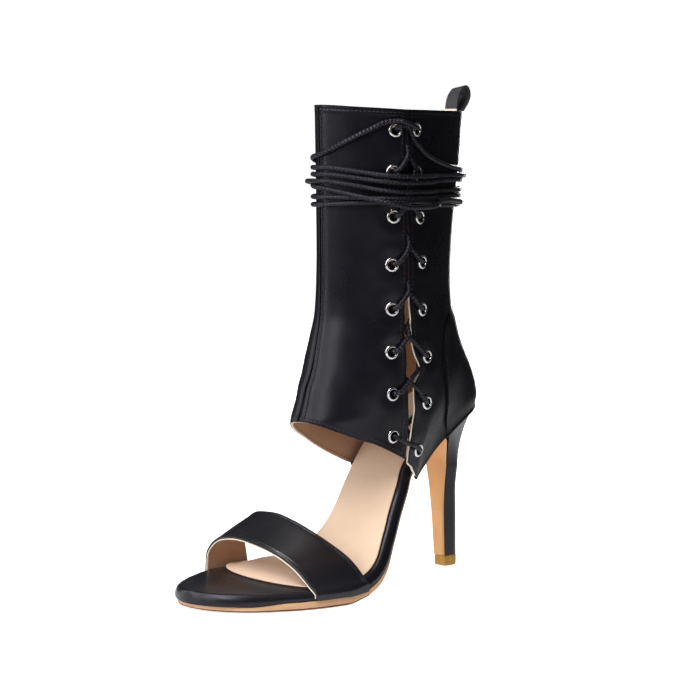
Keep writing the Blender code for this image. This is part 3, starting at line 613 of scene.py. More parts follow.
def braid(name):
    """Round braided cord: strands crossing at a slant, from the cord's own map."""
    look = Look(bpy.data.materials.new(name))
    place = look.place("UV")
    heights = []
    for slant in (1.0, -1.0):
        turn = look.add("Mapping", place, Scale=(8.0, 8.0, 1.0),
                        Rotation=(0.0, 0.0, slant * math.radians(45)))
        strands = look.add("TexWave", turn.outputs["Vector"], Scale=0.2222)
        strands.bands_direction = "X"
        strands.wave_profile = "SIN"
        heights.append(strands.outputs["Fac"])
    higher = look.add("Math", *heights)
    higher.operation = "MAXIMUM"
    height = higher.outputs["Value"]
    fibre = look.noise(look.place(), Scale=4200.0, Detail=2.0)
    # the colour follows the strands' height, darker down between them: painted shade in the braid's
    # grooves
    return look.finished(
        Base_Color=look.ramp(height, (0.35, 0.0020, 0.0019, 0.0030),
                             (0.95, 0.0056, 0.0052, 0.0086)),
        Normal=look.bump(fibre, 0.00004, 0.6, look.bump(height, 0.0003, 0.9)),
        Roughness=0.34, Specular_IOR_Level=0.38, Specular_Tint=(0.86, 0.84, 1.0, 1.0),
        Sheen_Weight=0.03, Sheen_Roughness=0.4)


def metal(name, colour, rough):
    """Polished plated metal with hair scratches."""
    look = Look(bpy.data.materials.new(name))
    place = look.place()
    hair = look.noise(place, Scale=1800.0, Detail=4.0, Distortion=1.2)
    cloud = look.noise(place, Scale=250.0, Detail=2.0)
    low = tuple(c * 0.86 for c in colour)
    return look.finished(
        Base_Color=look.ramp(cloud, (0.35, *low), (0.65, *colour)),
        Roughness=look.spread(hair, rough - 0.05, rough + 0.1),
        Normal=look.bump(hair, 0.00002, 0.15), Metallic=1.0)


BLACK = leather("black_satin_calf", (0.0050, 0.0047, 0.0070), (0.0067, 0.0063, 0.0094), 0.29, 0.24)
BLACK_SOFT = leather("black_wrapped_calf", (0.0046, 0.0043, 0.0060), (0.0064, 0.0060, 0.0084),
                     0.36, 0.58, 0.5, 0.3)
# painted shade: a near-black, matte copy of the leather for the dark line in the front seam's groove
SEAM_SHADE = leather("black_seam_painted_shade", (0.0020, 0.0018, 0.0024), (0.0032, 0.0030, 0.0038), 0.7,
                    0.06)
BLACK_WRAP = leather("black_wrap_calf", (0.0046, 0.0043, 0.0062), (0.0064, 0.0060, 0.0086), 0.33,
                     0.42, 0.3, 0.1)
BLACK_GLOSS = leather("black_polished_calf", (0.0040, 0.0037, 0.0062), (0.0056, 0.0052, 0.0084),
                      0.20, 0.34, 0.3, 0.2)
# painted sheen: a lighter grey copy of the black leather, for the light caught by the pull loop and
# by the bead at the counter's foot
SHEEN_CALF = leather("black_calf_painted_sheen", (0.034, 0.034, 0.037), (0.046, 0.046, 0.049), 0.42, 0.45)
LINING = tanned("tan_lining_leather", (0.48, 0.275, 0.17), (0.56, 0.34, 0.215), 0.55, 45.0, 0.00005)
SOCK = tanned("beige_sock_leather", (0.69, 0.50, 0.355), (0.765, 0.565, 0.415), 0.5, 30.0, 0.00004)
RAW = tanned("raw_cut_edge", (0.88, 0.77, 0.63), (0.96, 0.90, 0.78), 0.75, 300.0, 0.00008)
DYED = tanned("dyed_cut_edge", (0.030, 0.012, 0.010), (0.055, 0.022, 0.018), 0.6, 300.0, 0.00006)
# painted shadow: dark brown for the contact shadow under the edge of the tread
SOLE_CONTACT_SHADOW = tanned("sole_painted_contact_shadow", (0.085, 0.032, 0.013), (0.125, 0.050, 0.022), 0.6, 300.0,
                  0.00006)
BREAST = tanned("tan_breast_leather", (0.76, 0.415, 0.17), (0.84, 0.49, 0.22), 0.42, 60.0, 0.00005)
TAN = tanned("tan_outsole_leather", (0.60, 0.355, 0.190), (0.72, 0.44, 0.26), 0.42, 60.0, 0.00005)
RUBBER = tanned("ochre_tip_rubber", (0.46, 0.245, 0.048), (0.565, 0.325, 0.08), 0.5, 220.0, 0.00006)
NICKEL = metal("bright_nickel", (0.68, 0.67, 0.66), 0.18)
# painted shade: near-black metal inside the eyelets' bores, where the holes lie in shade
BORE = metal("shaded_bore", (0.02, 0.019, 0.018), 0.7)
CORD = braid("black_braided_cord")
THREAD = leather("black_waxed_thread", (0.014, 0.012, 0.013), (0.030, 0.026, 0.028), 0.42, 0.5,
                 0.6, 0.5)


# making of pieces

SHEET_SMOOTH = 40.0

def piece(name, verts, faces, mat, nodes, smooth, uvs=None):
    """A finished piece from shoe coordinates, riding on the boot."""
    mesh = bpy.data.meshes.new(name)
    mesh.from_pydata([tuple(v) for v in world(np.asarray(verts, float))], [], faces)
    if uvs is not None:
        layer = mesh.uv_layers.new(name="UVMap")
        layer.data.foreach_set("uv", np.asarray(uvs, np.float32).reshape(-1))
    obj = bpy.data.objects.new(name, mesh)
    bpy.context.scene.collection.objects.link(obj)
    mesh.materials.append(mat)
    if uvs is None:
        bm = bmesh.new()
        bm.from_mesh(mesh)
        bmesh.ops.remove_doubles(bm, verts=bm.verts, dist=1e-6)
        bmesh.ops.recalc_face_normals(bm, faces=bm.faces)
        bm.to_mesh(mesh)
        bm.free()
    return dress(obj, nodes, smooth)


def pick_only(obj):
    """Select one object alone and make it the active one."""
    bpy.ops.object.select_all(action="DESELECT")
    bpy.context.view_layer.objects.active = obj
    obj.select_set(True)


def dress(obj, nodes, smooth):
    """Smooth a piece up to an angle, and say what it rides on and what it replaces."""
    pick_only(obj)
    bpy.ops.object.shade_smooth_by_angle(angle=math.radians(smooth))
    obj.select_set(False)
    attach(obj, "root")
    if nodes:
        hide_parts(*nodes)
    return obj


def apply(obj, kind, **settings):
    """Put one modifier on a piece and apply it."""
    pick_only(obj)
    change = obj.modifiers.new(kind.lower(), kind)
    for key, value in settings.items():
        setattr(change, key, value)
    bpy.ops.object.modifier_apply(modifier=change.name)
    obj.select_set(False)


def loft_faces(count, size):
    """Quads over rings of equal size, capped at both ends."""
    faces = []
    for i in range(count - 1):
        for j in range(size):
            k = (j + 1) % size
            faces.append((i * size + j, i * size + k, (i + 1) * size + k, (i + 1) * size + j))
    faces.append(tuple(range(size - 1, -1, -1)))
    faces.append(tuple(range((count - 1) * size, count * size)))
    return faces


def loft(name, rings, mat, nodes=(), smooth=35.0):
    """Closed piece through rings of points, capped at both ends."""
    rings = np.asarray(rings)
    return piece(name, rings.reshape(-1, 3), loft_faces(len(rings), rings.shape[1]), mat,
                 nodes, smooth)


def shell_mesh(outer, inner):
    """Vertices and faces of a closed sheet between two grids."""
    rows, cols = outer.shape[:2]
    half = rows * cols
    index = np.arange(half).reshape(rows, cols)
    quads = np.stack([index[:-1, :-1], index[:-1, 1:], index[1:, 1:], index[1:, :-1]],
                     -1).reshape(-1, 4)
    rim = np.concatenate([index[0], index[1:, -1], index[-1, -2::-1], index[-2:0:-1, 0]])
    after = np.roll(rim, -1)
    edge = np.stack([rim, rim + half, after + half, after], -1)
    faces = np.concatenate([quads, quads[:, ::-1] + half, edge])
    return np.concatenate([outer.reshape(-1, 3), inner.reshape(-1, 3)]), faces.tolist()


def sheet(name, outer, inner, mat, nodes, rounding):
    """Closed sheet between two grids, its edges rounded off."""
    verts, faces = shell_mesh(outer, inner)
    obj = piece(name, verts, faces, mat, nodes, SHEET_SMOOTH)
    apply(obj, "BEVEL", width=rounding * MM, segments=2, limit_method="ANGLE",
          angle_limit=math.radians(60), use_clamp_overlap=True)
    return dress(obj, nodes, SHEET_SMOOTH)


def grid_normals(grid):
    """Normals of a grid of points."""
    return unit(np.cross(np.gradient(grid, axis=1), np.gradient(grid, axis=0)))


def resample(points, spacing):
    """The same line with evenly spaced points."""
    run = run_of(points)
    return picked(points, run, np.linspace(0, run[-1], max(2, int(round(run[-1] / spacing)) + 1)))


def averaged(points, count):
    """A line averaged over count neighbours each way, its two ends kept."""
    padded = np.concatenate([2 * points[:1] - points[count:0:-1], points,
                             2 * points[-1:] - points[-2:-count - 2:-1]])
    weight = np.hanning(2 * count + 3)[1:-1]
    weight /= weight.sum()
    return np.stack([np.convolve(column, weight, "valid") for column in padded.T], 1)


def smoothed(points, spacing, reach):
    """A line with evenly spaced points, rounded off over a reach."""
    count = int(round(reach / spacing))
    return averaged(averaged(resample(points, spacing), count), count)


def tube(name, points, radius, mat, nodes=(), sides=10, relief=0.0):
    """Round cord with rounded ends and a map that counts diameters along it."""
    tangent = unit(np.gradient(points, axis=0))
    side = unit(np.cross(tangent[0], (0.1, 0.2, 1.0)))
    run = run_of(points)
    angles = 2 * np.pi * np.arange(sides + 1) / sides
    verts, maps = [], []
    for i, (point, ahead) in enumerate(zip(points, tangent)):
        side = unit(side - ahead * np.dot(side, ahead))
        other = np.cross(ahead, side)
        along_it = run[i] / (2 * radius * math.pi)
        wave = np.maximum(np.cos((angles * 2 + along_it * 12 * np.pi)),
                          np.cos((angles * 2 - along_it * 12 * np.pi)))
        size = radius * (1 + relief * (wave - 0.6))
        verts.append(point + size[:, None] * (side * np.cos(angles)[:, None]
                                              + other * np.sin(angles)[:, None]))
        maps.append(np.stack([angles / (2 * np.pi), np.full(sides + 1, along_it)], 1))
    verts = np.array(verts)[:, :sides]
    ends = []
    for i, sign in ((0, -1), (-1, 1)):
        for share, ahead in ((0.82, 0.5), (0.4, 0.85)):
            ends.append(points[i] + (verts[i] - points[i]) * share
                        + tangent[i] * sign * ahead * radius)
    rings = np.concatenate([[ends[1], ends[0]], verts, ends[2:]])
    maps = np.concatenate([[maps[0], maps[0]], maps, [maps[-1], maps[-1]]])
    quads = np.stack([maps[:-1, :-1], maps[:-1, 1:], maps[1:, 1:], maps[1:, :-1]], 2)
    uvs = np.concatenate([quads.reshape(-1, 2), maps[0, -2::-1], maps[-1, :-1]])
    return piece(name, rings.reshape(-1, 3), loft_faces(len(rings), sides), mat, nodes,
                 60.0, uvs)


def stitch_shape(length, width, height):
    """One stitch, modelled from a small sphere: flattened, and dipping into the leather."""
    bpy.ops.object.select_all(action="DESELECT")
    bpy.ops.mesh.primitive_uv_sphere_add(segments=6, ring_count=5, radius=0.5)
    obj = bpy.context.object
    bpy.ops.object.mode_set(mode="EDIT")
    bpy.ops.mesh.select_all(action="SELECT")
    bpy.ops.transform.rotate(value=math.radians(90), orient_axis="Y", center_override=(0, 0, 0))
    bpy.ops.transform.resize(value=(length, width, height), center_override=(0, 0, 0))
    bpy.ops.object.mode_set(mode="OBJECT")
    verts = np.array([v.co for v in obj.data.vertices])
    faces = [tuple(p.vertices) for p in obj.data.polygons]
    bpy.data.objects.remove(obj, do_unlink=True)
    verts[:, 2] -= 0.35 * height * (2 * verts[:, 0] / length) ** 2
    return verts, faces


def stitches(name, lines, pitch=2.3, length=1.8, width=0.42, height=0.36, mat=THREAD):
    """Rows of single stitches along (points, normals) lines, all in one piece."""
    shape, shape_faces = stitch_shape(length, width, height)
    verts, faces = [], []
    for points, normals in lines:
        run = run_of(points)
        count = max(1, int(run[-1] // pitch))
        at = (np.arange(count) + 0.5) * run[-1] / count
        place = picked(points, run, at)
        tangent = unit(picked(points, run, at + 0.4) - picked(points, run, at - 0.4))
        normal = unit(picked(normals, run, at))
        side = unit(np.cross(normal, tangent))
        normal = np.cross(tangent, side)
        for p, t, s, n in zip(place, tangent, side, normal):
            base = len(verts) * len(shape)
            verts.append(p + shape[:, :1] * t + shape[:, 1:2] * s + shape[:, 2:] * n)
            faces += [tuple(base + i for i in face) for face in shape_faces]
    return piece(name, np.concatenate(verts), faces, mat, (), 60.0)


# laces: the knot and the two wound ones, then the crossings and the bottom bar

def out_of(place, normal, toward, steps):
    """Points of a lace through an eyelet; steps hold (height, distance towards an aim)."""
    return [place + normal * height + toward * ahead for height, ahead in steps]


def rear_arm(u):
    """Height of the rear lace where it comes down to the turns, inside everything else."""
    return pchip(REAR_LACE[8:2:-1, 0] + 3.0, REAR_LACE[8:2:-1, 1], u)


def wound_point(s, z, forward):
    """Middle of a wound lace at column s and height z, lifted over what lies under it."""
    u = s % 3.0
    from_slit = np.where(u < 1.5, u * FRONT_ARC, (3.0 - u) * REAR_ARC)
    lift = REST_LIFT + np.where(z < 230.0, SLIT_LIFT * (1 - eased(from_slit, 13.0, 26.0)), 0.0)
    if forward:
        lift = lift + np.where(s < 0.45, 1.9 * (1 - eased(abs(s - 0.02), 0.02, 0.14)), 0.0)
        over = (LACE + 0.5) * (1 - eased(abs(z - rear_arm(u)), 1.8, 4.4)) * eased(u, 1.0, 1.05)
        lift = lift + np.where((u >= 1.0) & (u < 2.9), over, 0.0)
    else:
        lift = lift - np.where(s > -0.2, 0.7 * (1 - eased(abs(s), 0.0, 0.05)), 0.0)
        over = (LACE + 0.4) * eased(s, -3.8, -3.6) * (1 - eased(s, -2.5, -2.3))
        lift = lift + np.where((s > -3.8) & (s < -2.3), over, 0.0)
    return surface(u, z) + surface_normal(u, z) * lift[..., None]


def wound(table, forward):
    """Route of a lace from its top eyelet, round the shaft and down to the knot."""
    place, normal, _ = PLACES[(TOP_ROW, forward)]
    sign = 1 if forward else -1
    marks = np.arange(table[0, 0] * sign, table[-1, 0] * sign, 0.018)
    heights = pchip(table[::sign, 0], table[::sign, 1], marks * sign)
    line = wound_point(marks * sign, heights, forward)
    toward = unit(line[0] - place)
    start = out_of(place, normal, toward, ((-2.6, 0.4), (0.1, 0.7), (1.2, 2.3)))
    return smoothed(np.concatenate([start, line]), 0.95, 1.8)


def lace_tube(name, line, nodes=()):
    """Braided lace along a line."""
    return tube(name, line, LACE / 2, CORD, nodes, relief=0.05)


def knotted():
    """A lace tied in a small overhand knot, its end hanging free."""
    t = np.linspace(0.0, 2 * np.pi, 72, endpoint=False)
    loop = np.stack([np.sin(t) + 2 * np.sin(2 * t), np.cos(t) - 2 * np.cos(2 * t),
                     -np.sin(3 * t)], 1)
    normal = surface_normal(KNOT_U, KNOT_Z)
    a, b = axes_of(normal)
    middle = surface(KNOT_U, KNOT_Z) + normal * 3.3
    points = middle + (loop[:, :1] * a * 1.5 + loop[:, 1:2] * b * 1.2
                       + loop[:, 2:] * normal * 1.35)
    hanging = ((1.5, 3.0, 0.0), (2.5, 9.0, 1.4), (3.6, 17.0, 1.6), (3.2, 25.0, 1.7))
    tail = [points[-1] - a * aside - b * down - normal * inward for aside, down, inward in hanging]
    return smoothed(np.concatenate([points, points[:1], tail]), 0.8, 1.4)


knot = lace_tube("knot", knotted(), ["lace_knot"])
for label, table, forward in (("front", FRONT_LACE, True), ("rear", REAR_LACE, False)):
    route = wound(table, forward)
    lace = lace_tube("wound_lace_" + label, route, ["lace_wound_" + label])


def under_point(u, z, depth):
    """Point at a depth under the outside of the shaft."""
    return surface(u, z) - surface_normal(u, z) * depth


def strand(row, back):
    """Lace out of an eyelet, up and over to the slit, and under the far flap to the next row."""
    place, normal, u = PLACES[(row, back)]
    target, target_normal, target_u = PLACES[(row + 1, not back)]
    z = EYELETS[row, ::2].mean() + CROSS_RISE
    near, far = (3.0, 0.0) if back else (0.0, 3.0)
    out = unit(surface_normal(0.0, z) + surface_normal(3.0, z))
    toward = unit(surface(near, place[2] + 2.0) - place)

    def over(share, rise, lift):
        """Point over the leather, at shares of the way to the slit and of the rise."""
        level = place[2] + (z - place[2]) * rise
        at = u + (near - u) * share
        return surface(at, level) + surface_normal(at, level) * lift

    # where the slit gapes, the two strands of a crossing part instead of lying on each other
    wide = np.clip((slit_gap(z, 1) + slit_gap(z, 2) - 5.6) / 2.0, 0.0, 1.0)
    share = 0.5 - (0.2 if back else 0.16) * wide
    level = z + (-1.4 if back else 1.2) * wide
    middle = surface(0.0, level) * (1 - share) + surface(3.0, level) * share
    high = z + 4.5 - (3.2 * wide if back else 0.0)
    share = 0.5 - (0.52 if back else -0.42) * wide
    between = surface(0.0, high) * (1 - share) + surface(3.0, high) * share
    inside_u = far + (0.07 if far == 0.0 else -0.045)
    line = [*out_of(place, normal, toward,
                    ((-LACE_UNDER, 0.3), (-1.6, 0.4), (0.3, 0.7), (1.75, 2.5))),
            over(0.5, 0.24, 1.7), over(0.84, 0.6, 1.5),
            middle + out * (-0.2 if back else 1.3), between + out * (-1.9 if back else -0.6),
            under_point(inside_u, z + 8.5, 3.3),
            under_point((inside_u + target_u) / 2, (z + 8.5 + target[2]) / 2, 3.6),
            target - target_normal * LACE_UNDER]
    return smoothed(np.array(line), 0.9, 1.8)


for row in range(1, TOP_ROW):
    lace_tube(f"crossing_lace_{row}_front", strand(row, False), [f"lace_crossing_{row}"])
    lace_tube(f"crossing_lace_{row}_rear", strand(row, True))

bar = []
for back in (False, True):
    place, normal, _ = PLACES[(0, back)]
    target, target_normal, _ = PLACES[(1, not back)]
    edge = surface(3.0 if back else 0.0, EYELETS[0, ::2].mean())
    toward = unit(edge - place)
    half = [target - target_normal * LACE_UNDER,
            under_point(0.08 if back else 2.95, 93.0, 3.4),
            under_point(2.97 if back else 0.05, 84.0, 3.6),
            *out_of(place, normal, toward,
                    ((-LACE_UNDER, 0.6), (-1.2, 0.0), (1.2, 0.4), (2.5, 1.9))),
            (place + edge) / 2 + normal * 2.1,
            edge + normal * 1.9]
    bar += half[::-1] if back else half
lace_tube("bottom_bar_lace", smoothed(np.array(bar), 0.9, 1.8), ["lace_bar"])


# shaft leather, lining and edges

def wave(u, z):
    """Slow unevenness of hand-lasted leather, stronger round the ankle."""
    ankle = np.exp(-((z - 105.0) / 24.0) ** 2)
    s = u * 2 * np.pi / 3
    slow = (np.sin(3 * s + z / 19.0) + np.sin(5 * s - z / 13.0 + 1.1)
            + np.sin(z / 8.5 + 2.2 * np.sin(2 * s + 0.6))) / 3
    folds = np.sin(z / 3.6 + 3.0 * np.sin(s * 4)) * np.exp(-((u - 1.0) / 0.3) ** 2)
    return 0.16 * slow + ankle * (0.22 * slow + 0.10 * folds)


def trough(distance, width):
    """Bell of height 1 round a distance of 0, for channels and seams."""
    return np.exp(-(distance / width) ** 2)


def relief(u, z):
    """Lift of the leather over the plain surface: hems, stitch channels, seam and dimples."""
    to_rim, to_foot = top(u) - z, z - bottom(u)
    from_slit = np.where(u < 1.5, u * FRONT_RUN, (3.0 - u) * REAR_RUN)
    seam = np.where(u < 1.0, (u - 1.0) * FRONT_RUN, (u - 1.0) * INSIDE_RUN)
    lift = wave(u, z) * eased(from_slit, 0.0, 8.0)
    lift = lift + 0.26 * (1 - eased(seam, -0.35, 0.15)) * np.exp(np.minimum(seam, 0.0) / 9.0)
    lift = lift - 0.55 * trough(seam - 0.45, 0.42) - 0.34 * trough(seam + SEAM_STITCH, 0.42)
    lift = lift + 0.14 * (1 - eased(to_rim, 3.2, 4.2)) - 0.15 * trough(to_rim - RIM_STITCH, 0.4)
    lift = lift + 0.12 * (1 - eased(to_foot, 2.6, 3.6)) - 0.15 * trough(to_foot - FOOT_STITCH, 0.4)
    hem = np.where(u < 1.5, 1.0, 0.8)
    lift = lift + 0.14 * hem * (1 - eased(from_slit, 3.0, 4.0))
    lift = lift - 0.15 * trough(from_slit - SLIT_STITCH, 0.4)
    for (_, back), (place, _, at) in PLACES.items():
        run = (u - at) * (REAR_RUN if back else FRONT_RUN)
        away = np.hypot(run, z - place[2])
        lift = lift - 0.42 * np.exp(-(away / 5.6) ** 2) + 0.16 * np.exp(-((away - 9.0) / 3.0) ** 2)
    return lift


def spaced_marks(marks, fine, coarse):
    """Values from 0 to 1, close together round the marks; spacings in the same unit."""
    out = [0.0]
    while out[-1] < 1.0:
        near = min(abs(out[-1] - m) for m in marks)
        step = fine if near < fine * 10 else min(coarse, fine + (near - fine * 10) * 0.35)
        out.append(out[-1] + step)
    return np.array(out[:-1] + [1.0]) if out[-2] < 1.0 - fine * 0.6 else np.array(out[:-2] + [1.0])


COLUMNS = np.concatenate([
    spaced_marks([0.0, 1.0], 0.4 / FRONT_RUN, 1.7 / FRONT_RUN)[:-1],
    1.0 + spaced_marks([0.0], 0.4 / INSIDE_RUN, 2.2 / INSIDE_RUN)[:-1],
    2.0 + spaced_marks([1.0], 0.4 / REAR_RUN, 1.8 / REAR_RUN)])
LAYERS = spaced_marks([0.0, 1.0], 0.4 / 200, 1.9 / 200)


def patch(us, shares, lift, grow_top=0.0, grow_foot=0.0):
    """Grid of points over the whole shaft, at a lift by column and height."""
    u, v = np.meshgrid(us, shares)
    low, high = bottom(u) - grow_foot, top(u) + grow_top
    z = low + (high - low) * v
    return offset(u, z, lift(u, z))


shaft = sheet("shaft_leather", patch(COLUMNS, LAYERS, relief),
              patch(COLUMNS, LAYERS, lambda u, z: wave(u, z) - 0.95), BLACK,
              ["shaft"], 0.28)
LINING_COLUMNS = np.concatenate([
    np.linspace(0.8 / FRONT_RUN, 1.0, 24)[:-1],
    1.0 + spaced_marks([0.42], 0.5 / INSIDE_RUN, 3.2 / INSIDE_RUN)[:-1],
    np.linspace(2.0, 3.0 - 0.9 / REAR_RUN, 34)])


def lining_face(u, z):
    """Inner face of the lining, with the groove of its seam on the inside of the foot."""
    seam = (u - 1.4 - 0.0062 * (z - 64.0)) * INSIDE_RUN
    return wave(u, z) - 1.6 + 0.3 * trough(seam, 0.55) * (1 - eased(z, 150.0, 170.0))


lining = sheet("shaft_lining",
               patch(LINING_COLUMNS, LAYERS[::2], lambda u, z: wave(u, z) - 1.0, -1.2, -0.2),
               patch(LINING_COLUMNS, LAYERS[::2], lining_face, -1.2, -0.2),
               LINING, (), 0.15)


def hole_cutter():
    """Short posts through every eyelet, for the holes in leather and lining."""
    bpy.ops.object.select_all(action="DESELECT")
    bpy.ops.mesh.primitive_cylinder_add(vertices=20, radius=(EYELET_BARREL + 0.2) * MM,
                                        depth=9 * MM)
    post = bpy.context.object
    posts = []
    for place, normal, _ in PLACES.values():
        copy = post.copy()
        copy.data = post.data.copy()
        bpy.context.scene.collection.objects.link(copy)
        copy.data.transform(seat_matrix(place, normal))
        posts.append(copy)
    bpy.data.objects.remove(post, do_unlink=True)
    for copy in posts:
        copy.select_set(True)
    bpy.context.view_layer.objects.active = posts[0]
    bpy.ops.object.join()
    return posts[0]


def seat_matrix(place, normal, lift=0.0):
    """Turns z along a normal of the shoe and moves there, in the row frame."""
    a, b = axes_of(normal)
    axes = [Vector((v[0], -v[1], v[2])) for v in (a, b, normal)]
    if axes[0].cross(axes[1]).dot(axes[2]) < 0:
        axes[0] = -axes[0]
    turn = Matrix((axes[0], axes[1], axes[2])).transposed().to_4x4()
    return Matrix.Translation(Vector(world(place + normal * lift))) @ turn


cutter = hole_cutter()
for target in (shaft, lining):
    apply(target, "BOOLEAN", operation="DIFFERENCE", solver="MANIFOLD", object=cutter)
    pick_only(target)
    bpy.ops.object.shade_smooth_by_angle(angle=math.radians(SHEET_SMOOTH))
bpy.data.objects.remove(cutter, do_unlink=True)


def edge_strip(name, us, zs, outward, reach, profile, mat):
    """Cut edge of leather and lining, showing along a line of the shaft.

    profile holds the share of the reach where the edge's faces start to round off, and four
    depths under the leather: outer face, outer corner, inner corner, inner face.
    """
    start, outer, outer_corner, inner_corner, inner = profile
    base, normal = surface(us, zs), surface_normal(us, zs)
    corners = ((-0.6, outer), (start, outer), (1.0, outer_corner), (1.0, inner_corner),
               (start, inner), (-0.6, inner))
    rings = [base + outward * (share * reach) - normal * depth for share, depth in corners]
    return loft(name, np.stack(rings, 1), mat, (), 50.0)


for name, low_z, high_z, mat, slot in (
        ("raw_edge_rear_flap", bottom(3.0) + 0.3, 161.0, RAW, "beige_sock"),
        ("folded_edge_rear_flap", 161.2, top(3.0) - 1.0, DYED, "black_leather")):
    heights = np.linspace(low_z, high_z, 110)
    ahead = unit(surface(3.0, heights) - surface(2.98, heights))
    edge_strip(name, 3.0, heights, ahead, 0.5, (0.7, 0.25, 0.35, 0.8, 0.9), mat)

corner = np.linspace(2.0 + LATERAL_SHARE + 0.006, 2.998, 60)
ahead = surface(3.0, bottom(corner) + 2.0) - surface(2.98, bottom(corner) + 2.0)
edge_strip("raw_edge_corner", corner, bottom(corner), unit(ahead - (0.0, 0.0, 0.35)), 0.6,
           (0.7, 0.1, 0.25, 1.0, 1.15), RAW)

for name, first, last, count, mat in (
        ("dyed_edge_cuff_outer", 0.0, 0.87, 60, DYED),
        ("raw_edge_cuff_outer", 0.87, 1.0, 20, RAW),
        ("raw_edge_cuff_inner", 1.0, 2.0 - MEDIAL_SHARE - 0.02, 60, RAW)):
    us = np.linspace(first, last, count)
    edge_strip(name, us, bottom(us), np.array((0.0, 0.0, -1.0)), 0.2,
               (0.75, 0.45, 0.6, 1.2, 1.35), mat)


def shaft_line(us, zs, lift=None):
    """Line on the leather and its normals, for stitching."""
    us, zs = np.broadcast_arrays(us, zs)
    rise = relief(us, zs) + 0.02 if lift is None else lift
    return offset(us, zs, rise), surface_normal(us, zs)


def upright_line(edge, u):
    """Stitch line up a column beside an edge, from hem to hem."""
    share = np.linspace(0.0, 1.0, 260)
    return shaft_line(u, bottom(edge) + 3.0 + (top(edge) - bottom(edge) - 6.0) * share)


def foot_line(first, last):
    """Stitch line along the free lower edge."""
    us = np.linspace(first, last, 120)
    return shaft_line(us, bottom(us) + FOOT_STITCH)


rounds = np.linspace(0.02, 2.975, 420)
stitches("shaft_stitching", [
    shaft_line(rounds, top(rounds) - RIM_STITCH),
    upright_line(0.0, SLIT_STITCH / FRONT_RUN),
    upright_line(3.0, 3.0 - SLIT_STITCH / REAR_RUN),
    foot_line(0.04, 1.0),
    foot_line(1.0, 1.40)])

seam_z = np.linspace(bottom(1.0) + 0.6, top(1.0) - 0.6, 200)
# a thin near-black tube laid in the front seam's groove: painted shade of the groove
tube("front_seam_painted_shade", offset(1.0 + 0.2 / INSIDE_RUN, seam_z, 0.16), 0.38, SEAM_SHADE,
     sides=8)
stitches("front_seam_stitching", [upright_line(1.0, 1.0 - SEAM_STITCH / FRONT_RUN)],
         2.3, 1.7, 0.6, 0.5)

lining_rows = []
for first, last in ((1.02, 1.385), (0.04, 0.405)):
    us = np.linspace(first, last, 90)
    zs = bottom(us) + FOOT_STITCH
    lining_rows.append((offset(us, zs, lining_face(us, zs) - 0.02), -surface_normal(us, zs)))
stitches("lining_stitching", lining_rows, 2.0, 1.5, 0.45, 0.4)


# counter and back seam

def from_seam(distance, z):
    """Column at a length of leather from the back seam, positive to the outer side."""
    inside, rear = leather_length(z)
    return 2.0 + np.where(distance < 0, distance / inside, distance / rear)


def counter_reach(z):
    """Length of leather from the back seam to the counter's edge."""
    return read(COUNTER_EDGE, 1, z)


def counter_patch(turns, shares, lift):
    """Grid over the counter's outline, from the seat to the peak."""
    w, v = np.meshgrid(turns, shares)
    peak = COUNTER_EDGE[-1, 0]
    low = np.full(w.shape, 88.0)
    for _ in range(20):
        low = bottom(from_seam(w * counter_reach(low), low))
    z = low + 0.2 + (peak - low - 0.2) * v
    thin = (0.25 + 0.75 * eased(z - low, 0.0, 9.0)) * (1 - 0.92 * eased(z, peak - 7.0, peak))
    thin = 0.1 + (lift - 0.1) * thin
    return offset(from_seam(w * counter_reach(z), z), z, thin)


edge_turns = -np.cos(np.linspace(0, np.pi, 90))
counter_shares = np.concatenate([np.linspace(0, 0.9, 60)[:-1],
                                 0.9 + 0.1 * np.sin(np.linspace(0, np.pi / 2, 28))])
sheet("heel_counter_leather", counter_patch(edge_turns, counter_shares, 1.25),
      counter_patch(edge_turns, counter_shares, 0.1), BLACK, ["heel_counter"],
      0.4)

aside = np.array([-3.1, -2.5, -1.9, -1.2, -0.6, 0.0, 0.6, 1.2, 1.9, 2.5, 3.1])
strip_u = 2.0 + np.where(aside < 0, aside / INSIDE_RUN, aside / REAR_RUN)
u, z = np.meshgrid(strip_u, np.linspace(148.5, top(2.0) - RIM_STITCH, 90))
rise = (1.0 - 0.12 * trough(aside, 0.7)[None, :]) * (0.12 + 0.88 * eased(z, 149.0, 162.0))
sheet("back_seam_strip", offset(u, z, rise + wave(u, z)), offset(u, z, wave(u, z) + 0.02),
      BLACK, (), 0.28)

# the bead's lighter grey is a painted highlight along the counter's lower edge
bead = from_seam(np.linspace(-40.0, 47.0, 160), 84.0)
tube("seat_bead", smoothed(offset(bead, bottom(bead) + 0.5, 0.75), 0.8, 1.6), 0.42, SHEEN_CALF,
     sides=8)

rows = []
for sign in (-1, 1):
    zs = np.linspace(70.0, 152.6, 200)
    us = from_seam(sign * (counter_reach(zs) - COUNTER_STITCH), zs)
    keep = (zs > bottom(us) + 1.5) & (zs < 144.5)
    rows.append(shaft_line(us[keep], zs[keep], 1.27))
    u = 2.0 + sign * 1.9 / (REAR_RUN if sign > 0 else INSIDE_RUN)
    zs = np.linspace(158.0, top(2.0) - 6.0, 200)
    rows.append((offset(u, zs, 1.02 + wave(u, zs)), surface_normal(u, zs)))
stitches("counter_stitching", rows)


# eyelets

